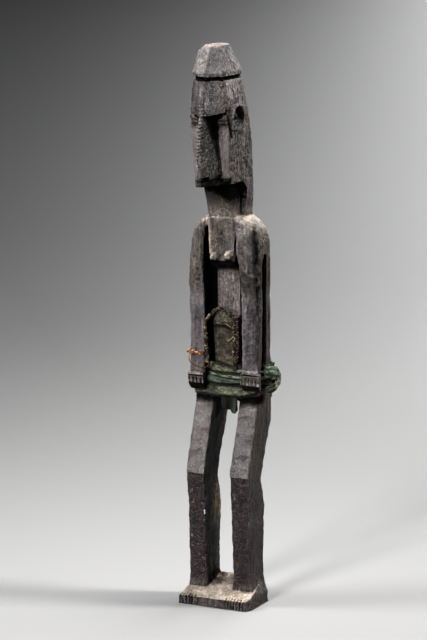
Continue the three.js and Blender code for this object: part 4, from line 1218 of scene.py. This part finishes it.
# ---------------------------------------------------------------- knot and free end

KNOT_BANDS = [
    # route, half width, half thickness, the way that it is wide, pleats, seed, colour
    ([(43.6, 10, 252.5), (47.5, 14, 253.5), (50.5, 20, 252.5), (51.6, 26, 249), (49.5, 31, 246)],
     (4.2, 6.4, 6.8, 5.4, 2.6), (1.4, 2.0, 2.6, 2.4, 1.4), (0, 0.25, 1), 5, 601, BLUE_GREEN),
    ([(43.6, 12, 237), (46.5, 14, 235.5), (50, 19, 236.4), (52.6, 25, 241), (52.4, 29, 246.5)],
     (2.6, 4.4, 4.2, 3.2, 2.2), (1.2, 1.8, 2.0, 1.8, 1.4), (0, -0.5, 1), 4, 611, OLIVE_TINT),
    ([(43.8, 30, 254), (48, 30.5, 252), (51, 29, 247), (50.5, 28, 241), (46, 29, 236)],
     (3.4, 4.6, 4.6, 4.2, 3.0), (1.4, 2.0, 2.2, 2.0, 1.2), (0, 1, 0.2), 4, 621, BLUE_GREEN),
    ([(44.4, 20, 256), (45.8, 21, 259), (46.4, 23, 261.6), (45.4, 26, 261)],
     (3.6, 3.4, 2.8, 1.6), (1.6, 1.5, 1.3, 0.8), (0, 1, 0), 4, 631, BLUE_GREEN * 0.8),
    ([(44.6, 15, 243.4), (46.4, 19, 243), (47.4, 24, 243.6), (46.5, 29, 244)],
     (3.4, 4.0, 4.0, 3.0), (1.0, 1.4, 1.4, 1.0), (0, 0, 1), 3, 641, DEEP_GREEN * 0.8),
]
KNOT_FRAYS = [  # root, way
    ((52.6, 28, 246), (0.6, 0.5, -0.1)), ((53.2, 27, 243.4), (0.5, 0.6, -0.3)),
    ((46.2, 23, 262.2), (0.1, 0, 1)), ((44.8, 18, 258), (0, -0.4, 0.8)), ((52, 30, 241), (0.3, 0.7, -0.4)),
]


def pleated(route, wide, thin, way, pleats, seed, count=60, sides=28):
    """A gathered band of cloth, a flattened tube with pleats along it, and how far out each point is."""
    path = stretch(route, count)
    along = unit(np.gradient(path, axis=0))
    way = np.array(way, float)
    way = unit(way - along * (along @ way)[:, None])
    out = np.cross(along, way)
    turn = np.linspace(0, FULL_TURN, sides, endpoint=False)
    t = np.linspace(0, 1, count)
    wide, thin = (np.interp(t, np.linspace(0, 1, len(w)), w)[:, None] for w in (wide, thin))
    skew = 0.8 * noise(path, (9, 9, 9), seed)[:, None]
    pleat = 1 + 0.13 * np.cos(pleats * turn + skew * 3)
    pleat = pleat + 0.06 * np.cos((2 * pleats + 1) * turn + 2 + skew * 5)
    points = path[:, None] + way[:, None] * (wide * pleat * np.cos(turn))[..., None]
    points = (points + out[:, None] * (thin * pleat * np.sin(turn))[..., None]).reshape(-1, 3)
    points = points + 0.35 * wander(points, (4, 4, 4), seed + 1, 2)
    return points, grid_faces(count, sides) + end_caps(count, sides), smooth(pleat, 0.86, 1.1).reshape(-1)


def make_knot():
    random = np.random.default_rng(17)
    parts = []
    for route, wide, thin, way, pleats, seed, colour in KNOT_BANDS:
        points, faces, crease = pleated(route, wide, thin, way, pleats, seed)
        # painted shade in the pleats' hollows
        paint = Paint(points, mix(DEEP_GREEN * 0.3, colour, 0.1 + 0.9 * crease))
        paint.lay(PALE_OLIVE, patches(points, (6, 6, 3), seed + 9, 0.15, 0.7, 1) * 0.4)
        # painted shade in wandering crease lines
        paint.lay(DEEP_GREEN * 0.3, fold_lines(points, 0, (8, 8, 4.5), seed + 20, 0.13) * 0.75)
        paint.mottle((3, 3, 3), seed + 30, 0.75, 0.6)
        rim = smooth(points[:, 0], 51.5, 54) * patches(points, (4, 4, 3), seed + 40, -0.2, 0.3, 1)
        paint.lay(FRAYED_RIM, rim * (points[:, 2] < 247) * 0.7)
        parts.append((points, faces, paint.tint))
    ends, ways = (np.repeat(np.array(v), 9, axis=0) for v in zip(*KNOT_FRAYS))
    roots = ends + random.normal(0, 0.9, (45, 3))
    parts += fibres(random, roots, ways, 2.6, 0.14, [PALE_OLIVE, OLIVE_TINT])
    points, faces, tint = together(parts)
    points[:, 0] = np.clip(points[:, 0], 43.4, 56.2)
    knot = make_piece("sash_knot_folds", points, faces, GREEN, tint, "green_cloth", "sash_knot")


def cloth_sheet(surface, across, down, thick):
    """A thin closed sheet, thickened backwards from surface(u, v), with u and v at each point."""
    u, v = np.meshgrid(np.linspace(0, 1, across), np.linspace(0, 1, down))
    front = surface(u.ravel(), v.ravel())
    rim = [*range(across), *[j * across + across - 1 for j in range(1, down)],
           *[(down - 1) * across + i for i in range(across - 2, -1, -1)],
           *[j * across for j in range(down - 2, 0, -1)]]
    faces = grid_faces(down, across, around=False)
    points, faces = shell(front, front + np.array([0, thick, 0.0]), faces, zip(rim, rim[1:] + rim[:1]))
    return points, faces, both_sides(u), both_sides(v)


def make_tail():
    def surface(u, v):
        x = -4.6 + 19.6 * u
        drop = 11.4 + 3.2 * smooth(u, 0.5, 0.74) - 3.4 * smooth(u, 0.88, 1.0) - 2.2 * (1 - smooth(u, 0, 0.2))
        x = 5.4 + (x - 5.4) * (1 - 0.08 * v) + 0.6 * v * v
        z = 224.5 - (drop + 1.9) * v
        y = 3.6 + 1.2 * np.cos(u * 10 + 1.5 * v) * (0.4 + 0.6 * v) + 0.4 * np.cos(u * 23 + 2) * v
        return np.stack([x, y, z], axis=1)

    points, faces, u, v = cloth_sheet(surface, 60, 30, 0.8)
    # painted light and shade: darker in the hollows of the folds and over the half towards the figure's right
    fold = smooth(np.cos(u * 10 + 1.5 * v), -0.8, 0.8)
    tint = mix(*TAIL_LIT_AND_SHADED, np.clip(fold * 0.6 + 0.9 * (1 - smooth(u, 0.5, 0.65)), 0, 1))
    edge = smooth(u, 0.76, 0.82) * (1 - smooth(u, 0.88, 0.93)) * smooth(v, 0.2, 0.6)
    tint = mix(tint, PALE_OLIVE * 0.6, edge * 0.6)
    tail = make_piece("sash_free_end", points, faces, GREEN, tint, "green_cloth", "sash_tail")


make_knot()
make_tail()

# ---------------------------------------------------------------- belly cloth and its border

BELLY_TINT = linear(52, 49, 42)
BELLY_PALE = linear(70, 67, 58)
RUST = linear(44, 36, 28)
CRUST_TINTS = [linear(80, 70, 56), linear(46, 38, 31), linear(20, 16, 13), linear(128, 120, 104)]
BORDER = [
    (-17.6, -2.8, 262), (-17.7, -3, 272), (-18.9, -3, 282), (-19.9, -3, 296), (-20, -2, 305.4),
    (-16.2, 4, 313), (-10.6, 9.6, 318.4), (-3.4, 9.6, 315.2), (4.4, 9.6, 311), (7.2, 9.6, 301.6),
    (8.4, 9.6, 290), (8.6, 9.6, 276), (7.6, 9.6, 259),
]
SECOND_STRAND = [(6.2, 9.4, 312.6), (10, 9.8, 309), (11.2, 10.2, 300), (11.6, 10.4, 288), (11.4, 10.4, 276),
                 (10.4, 10, 263)]
STRAYS = [
    [(8, 8.4, 290.5), (4.6, 8.6, 287), (1.4, 8.9, 283.6), (-0.6, 9.2, 280.6)],
    [(7.8, 8.4, 286), (4, 8.6, 286.6), (0.6, 9, 284.4)],
    [(-13, 8.4, 303.6), (-7, 8.2, 302.2), (-1, 8.2, 303), (5, 8.2, 299.4)],
]
HAIRS = 1100


def belly_edges(z):
    """x of the belly cloth's right and left edges at a height."""
    left = np.interp(z, (250, 262, 280, 302, 310.6, 317.4), (-15, -14.4, -15.2, -16.6, -15.4, -10.4))
    heights = (250, 256, 262, 285, 304, 309, 313.4, 317.4)
    right = np.interp(z, heights, (13.6, 11, 7.4, 5, 5.4, 4.8, -2.6, -9.4))
    return left, right


def belly_bottom(u):
    return 260.0 - 2.4 * u - 4.8 * u**3


def belly_surface(u, v):
    z = 317 - v * (317 - belly_bottom(u))
    z = z + 0.7 * noise(np.stack([u * 40, 0 * u, z], 1), (2.4, 9, 9), 702) * smooth(v, 0.9, 1)
    left, right = belly_edges(z)
    x = left + (right - left) * u
    y = 11.9 - 6.6 * smooth(262.5 - 5.5 * smooth(x, -16, 14) - z, 0, 4)
    y = y - 0.9 * np.sin(u * math.pi) * band(z, 266, 300, 8)
    crease = fractal(np.stack([x + 0.8 * z, 0 * x, z - 0.6 * x], 1), (9, 9, 5), 705)
    y = y - 0.5 - 0.55 * crease * band(z, 250, 300, 6) - 1.6 * (1 - smooth(u, 0, 0.14)) * band(z, 262, 306, 4)
    return np.stack([x, y, z], axis=1)


def flap_surface(u, v):
    z = 316 - v * (14.6 - 1.6 * np.sin(u * math.pi) + 2.6 * u * u)
    left, right = belly_edges(z)
    x = left - 0.6 + (right - left + 1.0) * u
    y = 9.9 - 0.7 * np.sin(v * math.pi) + 0.35 * fractal(np.stack([x, 0 * x, z], 1), (4, 4, 3), 721, 2)
    return np.stack([x, y + 0.9 * smooth(v, 0.75, 1), z], axis=1)


def make_belly_cloth():
    points, faces, u, v = cloth_sheet(belly_surface, 56, 150, 0.7)
    paint = Paint(points, mix(BELLY_TINT, BELLY_PALE, patches(points, (7, 7, 12), 711, -0.1, 0.5)))
    paint.lay(RUST, patches(points, (5, 5, 9), 713, 0.1, 0.5) * 0.5)
    paint.lay(CRUST_TINTS[2] * 0.6, smooth(v, 0.93, 0.98) * 0.8)
    paint.mottle((3.2, 3.2, 4.4), 715, 0.72, 0.62)
    # painted shadow that the flap casts on the cloth below it
    below_flap = 301.5 - 2.6 * u * u + 1.6 * np.sin(u * math.pi) - 1.2
    paint.lay(CRUST_TINTS[2] * 0.3, band(points[:, 2], below_flap - 3.2, below_flap + 1.5, 0.8) * 0.9)
    apron = make_piece("belly_cloth", points, faces, BELLY, paint.tint, "belly_cloth", "apron_cloth")

    points, faces, _, v = cloth_sheet(flap_surface, 46, 26, 0.6)
    paint = Paint(points, mix(BELLY_TINT * 0.9, BELLY_PALE, patches(points, (5, 5, 3), 731, -0.2, 0.4)))
    paint.mottle((3, 3, 2.4), 735, 0.65, 0.75)
    paint.lay(CRUST_TINTS[2], smooth(v, 0.8, 0.93) * 0.8)
    crumbs = patches(points, (2.4, 2.4, 2.4), 733, -0.1, 0.3, 2)
    paint.lay(CRUST_TINTS[3] * 0.9, smooth(v, 0.84, 0.95) * crumbs * 0.85)
    folded = make_piece("belly_cloth_flap", points, faces, BELLY, paint.tint, "belly_cloth")

    fringe = make_fringe()


def make_fringe():
    """Threads along the belly cloth's lower edge and the flap's edge."""
    random = np.random.default_rng(23)
    roots, ways = [], []
    for u in np.linspace(0, 1, 150):
        z = float(belly_bottom(u))
        left, right = belly_edges(z)
        roots.append((left + (right - left) * u, 5.0 if u > 0.1 else 8.0, z + 0.3))
        ways.append((0.1, -0.4, -1))
    for t in np.linspace(0, 1, 60):
        roots.append((-15 + 20 * t, 9.6, 302.0 + 1.4 * math.sin(t * math.pi) - 2.6 * t * t))
        ways.append((0, -0.6, -0.5))
    roots = np.array(roots) + random.normal(0, 0.3, (len(roots), 3))
    points, faces, tint = together(fibres(random, roots, np.array(ways), 2.0, 0.13, CRUST_TINTS))
    return make_piece("belly_cloth_fringe", points, faces, CRUST, tint, "frayed_border")


def rough_strand(route, radius, swell, ripple, limits, seed, size):
    """A crusted strand along a route. radius, swell and ripple make its thickness, and limits bound it."""
    turn = np.linspace(0, FULL_TURN, 12, endpoint=False)
    thick = radius + swell * noise(route, [size] * 3, seed)[:, None]
    thick = thick + ripple[0] * np.cos(3 * turn + ripple[1] * np.arange(len(route))[:, None])
    return tube(route, np.clip(thick, *limits), 12)


def make_border():
    random = np.random.default_rng(29)
    route = stretch(BORDER, 330)
    route = route + wander(route, (4.5, 4.5, 4.5), 740, 2) * (0.9, 0.7, 0.5)
    points, faces = rough_strand(route, 1.75, 0.75, (0.4, 0.315), (0.8, 2.8), 751, 2.6)
    lump = fractal(points, (2.2, 2.2, 2.2), 761, 2)
    points = points + 0.5 * lump[:, None] * unit(points - points.mean(0))
    tint = mix(CRUST_TINTS[2], CRUST_TINTS[0], patches(points, (2.4, 2.4, 2.4), 771, -0.15, 0.4, 2))
    tint = mix(tint, CRUST_TINTS[3], patches(points, (3, 3, 4), 781, 0.25, 0.5, 2) * 0.75)
    # painted light on the strand's part on the figure's right, beside the arm
    parts = [(points, faces, tint * (1 + 0.6 * (points[:, :1] < -14)))]

    second = stretch(SECOND_STRAND, 190)
    second = second + wander(second, (4, 4, 4), 791, 2) * (0.9, 0.4, 0.4)
    points, faces = rough_strand(second, 1.15, 0.6, (0.3, 0.4), (0.5, 2.2), 795, 2.4)
    tint = mix(CRUST_TINTS[2], CRUST_TINTS[0], patches(points, (2.6, 2.6, 2.6), 797, 0.0, 0.4, 2))
    tint = mix(tint, CRUST_TINTS[3], patches(points, (3.2, 3.2, 4), 799, 0.3, 0.55, 2) * 0.7)
    parts.append((points, faces, tint))
    parts += [(*tube(stretch(stray, 40), 0.28, 6), CRUST_TINTS[3] * 0.8) for stray in STRAYS]

    route = np.concatenate([route, second])
    at = random.integers(0, len(route), HAIRS)
    way = random.normal(0, 1, (HAIRS, 3)) * (1, 0.8, 0.8) + (0, -0.5, 0)
    parts += fibres(random, route[at] + 0.9 * unit(way), way, 2.6, 0.2, CRUST_TINTS)
    points, faces, tint = together(parts)
    make_piece("belly_cloth_border", points, faces, CRUST, tint, "frayed_border", "apron_border")


make_belly_cloth()
make_border()

# ---------------------------------------------------------------- floor and light

COOL_WHITE = (0.95, 0.965, 1, 1)
WORLD_LEVEL = 0.025
FLOOR_GLOW = 0.02
FLOOR_SIZE = 80
AIM = Vector((0, 0, 0.32))  # where the lights point, in metres
FAR_LEVEL = 0.19  # how bright the far floor and the horizon are
LIGHTS = [
    # name, turn, rise, distance, size, power, spread, colour
    ("front", -4, 21, 2.3, (0.5, 0.5), 14, 75, (1, 0.985, 0.965)),
    ("left_side", -60, 42, 2.0, (0.6, 0.9), 8, 80, (0.98, 0.99, 1)),
    ("rim", 112, 40, 2.1, (0.35, 0.9), 16, 90, (1, 0.985, 0.96)),
    ("top", 150, 76, 1.7, (0.6, 0.6), 5, 80, (1, 1, 1)),
]
STRIP = ((0.13, 1.0, 0.7), (-3.7, 10.1, 0.7))  # the strip light's ends, over the floor behind the figure
STRIP_SHINES = (-0.44, -0.23, -0.86)
STRIP_WIDTH = 0.25
STRIP_POWER = 96


def make_floor():
    """A plain pale floor whose glow is painted light: faint everywhere, and a little more far off, except
    straight behind the figure as the camera sees it.
    """
    bpy.ops.mesh.primitive_plane_add(size=FLOOR_SIZE, location=(0, 0, -0.0002))
    floor = bpy.context.object
    floor.name = "floor"
    n = Nodes("floor")
    n.constants({"Base Color": (0.2, 0.2, 0.2, 1), "Roughness": 0.9, "Specular IOR Level": 0.1,
                 "Emission Color": COOL_WHITE})
    place = n.add("ShaderNodeTexCoord").outputs["Object"]
    away = n.add("ShaderNodeVectorMath", operation="LENGTH")
    n.link(place, away.inputs[0])
    away = away.outputs["Value"]
    behind = n.add("ShaderNodeVectorMath", operation="DOT_PRODUCT")
    behind.inputs[1].default_value = -way_to(CAMERA["turn"], 0)
    n.link(place, behind.inputs[0])
    lit = n.math("DIVIDE", behind.outputs["Value"], n.math("MAXIMUM", away, 0.01))
    far = n.times(n.spread(away, 1.0, 3.4, 0, 1), n.spread(lit, 0.94, 0.985, 1, 0))
    far = n.math("MAXIMUM", far, n.spread(away, 14, 20, 0, 1))
    n.link(n.spread(far, 0, 1, FLOOR_GLOW, FAR_LEVEL), n.shader.inputs["Emission Strength"])
    floor.data.materials.append(n.material)


def make_world():
    """A dim world, with a paler band along the horizon."""
    world = bpy.data.worlds.new("world")
    bpy.context.scene.world = world
    world.use_nodes = True
    nodes, links = world.node_tree.nodes, world.node_tree.links
    nodes["Background"].inputs["Color"].default_value = COOL_WHITE
    split = nodes.new("ShaderNodeSeparateXYZ")
    links.new(nodes.new("ShaderNodeTexCoord").outputs["Generated"], split.inputs[0])
    level = nodes.new("ShaderNodeMapRange")
    for key, number in zip(("From Min", "From Max", "To Min", "To Max"), (0.04, 0.2, FAR_LEVEL, WORLD_LEVEL)):
        level.inputs[key].default_value = number
    links.new(split.outputs["Z"], level.inputs["Value"])
    links.new(level.outputs[0], nodes["Background"].inputs["Strength"])


def place_light(name, place, turned, size, power, spread, colour):
    data = bpy.data.lights.new(name, "AREA")
    data.shape = "RECTANGLE"
    data.size, data.size_y = size
    data.energy = power
    data.spread = math.radians(spread)
    data.color = colour
    light = add_object(name, data)
    light.location = place
    light.rotation_mode = "QUATERNION"
    light.rotation_quaternion = turned
    light.visible_camera = False


def make_lights():
    for name, turn, rise, distance, size, power, spread, colour in LIGHTS:
        way = way_to(turn, rise)
        place_light(name, AIM + way * distance, way.to_track_quat("Z", "Y"), size, power, spread, colour)
    start, end = (Vector(v) for v in STRIP)
    along = (end - start).normalized()
    up = -Vector(STRIP_SHINES).normalized()
    up = (up - along * up.dot(along)).normalized()
    turned = Matrix((along, up.cross(along), up)).transposed().to_quaternion()
    size = ((end - start).length, STRIP_WIDTH)
    place_light("backdrop", (start + end) / 2, turned, size, STRIP_POWER, 180, (1, 1, 1))


make_floor()
make_world()
make_lights()
bpy.context.scene.view_settings.view_transform = "Standard"
bpy.context.scene.view_settings.look = "High Contrast"
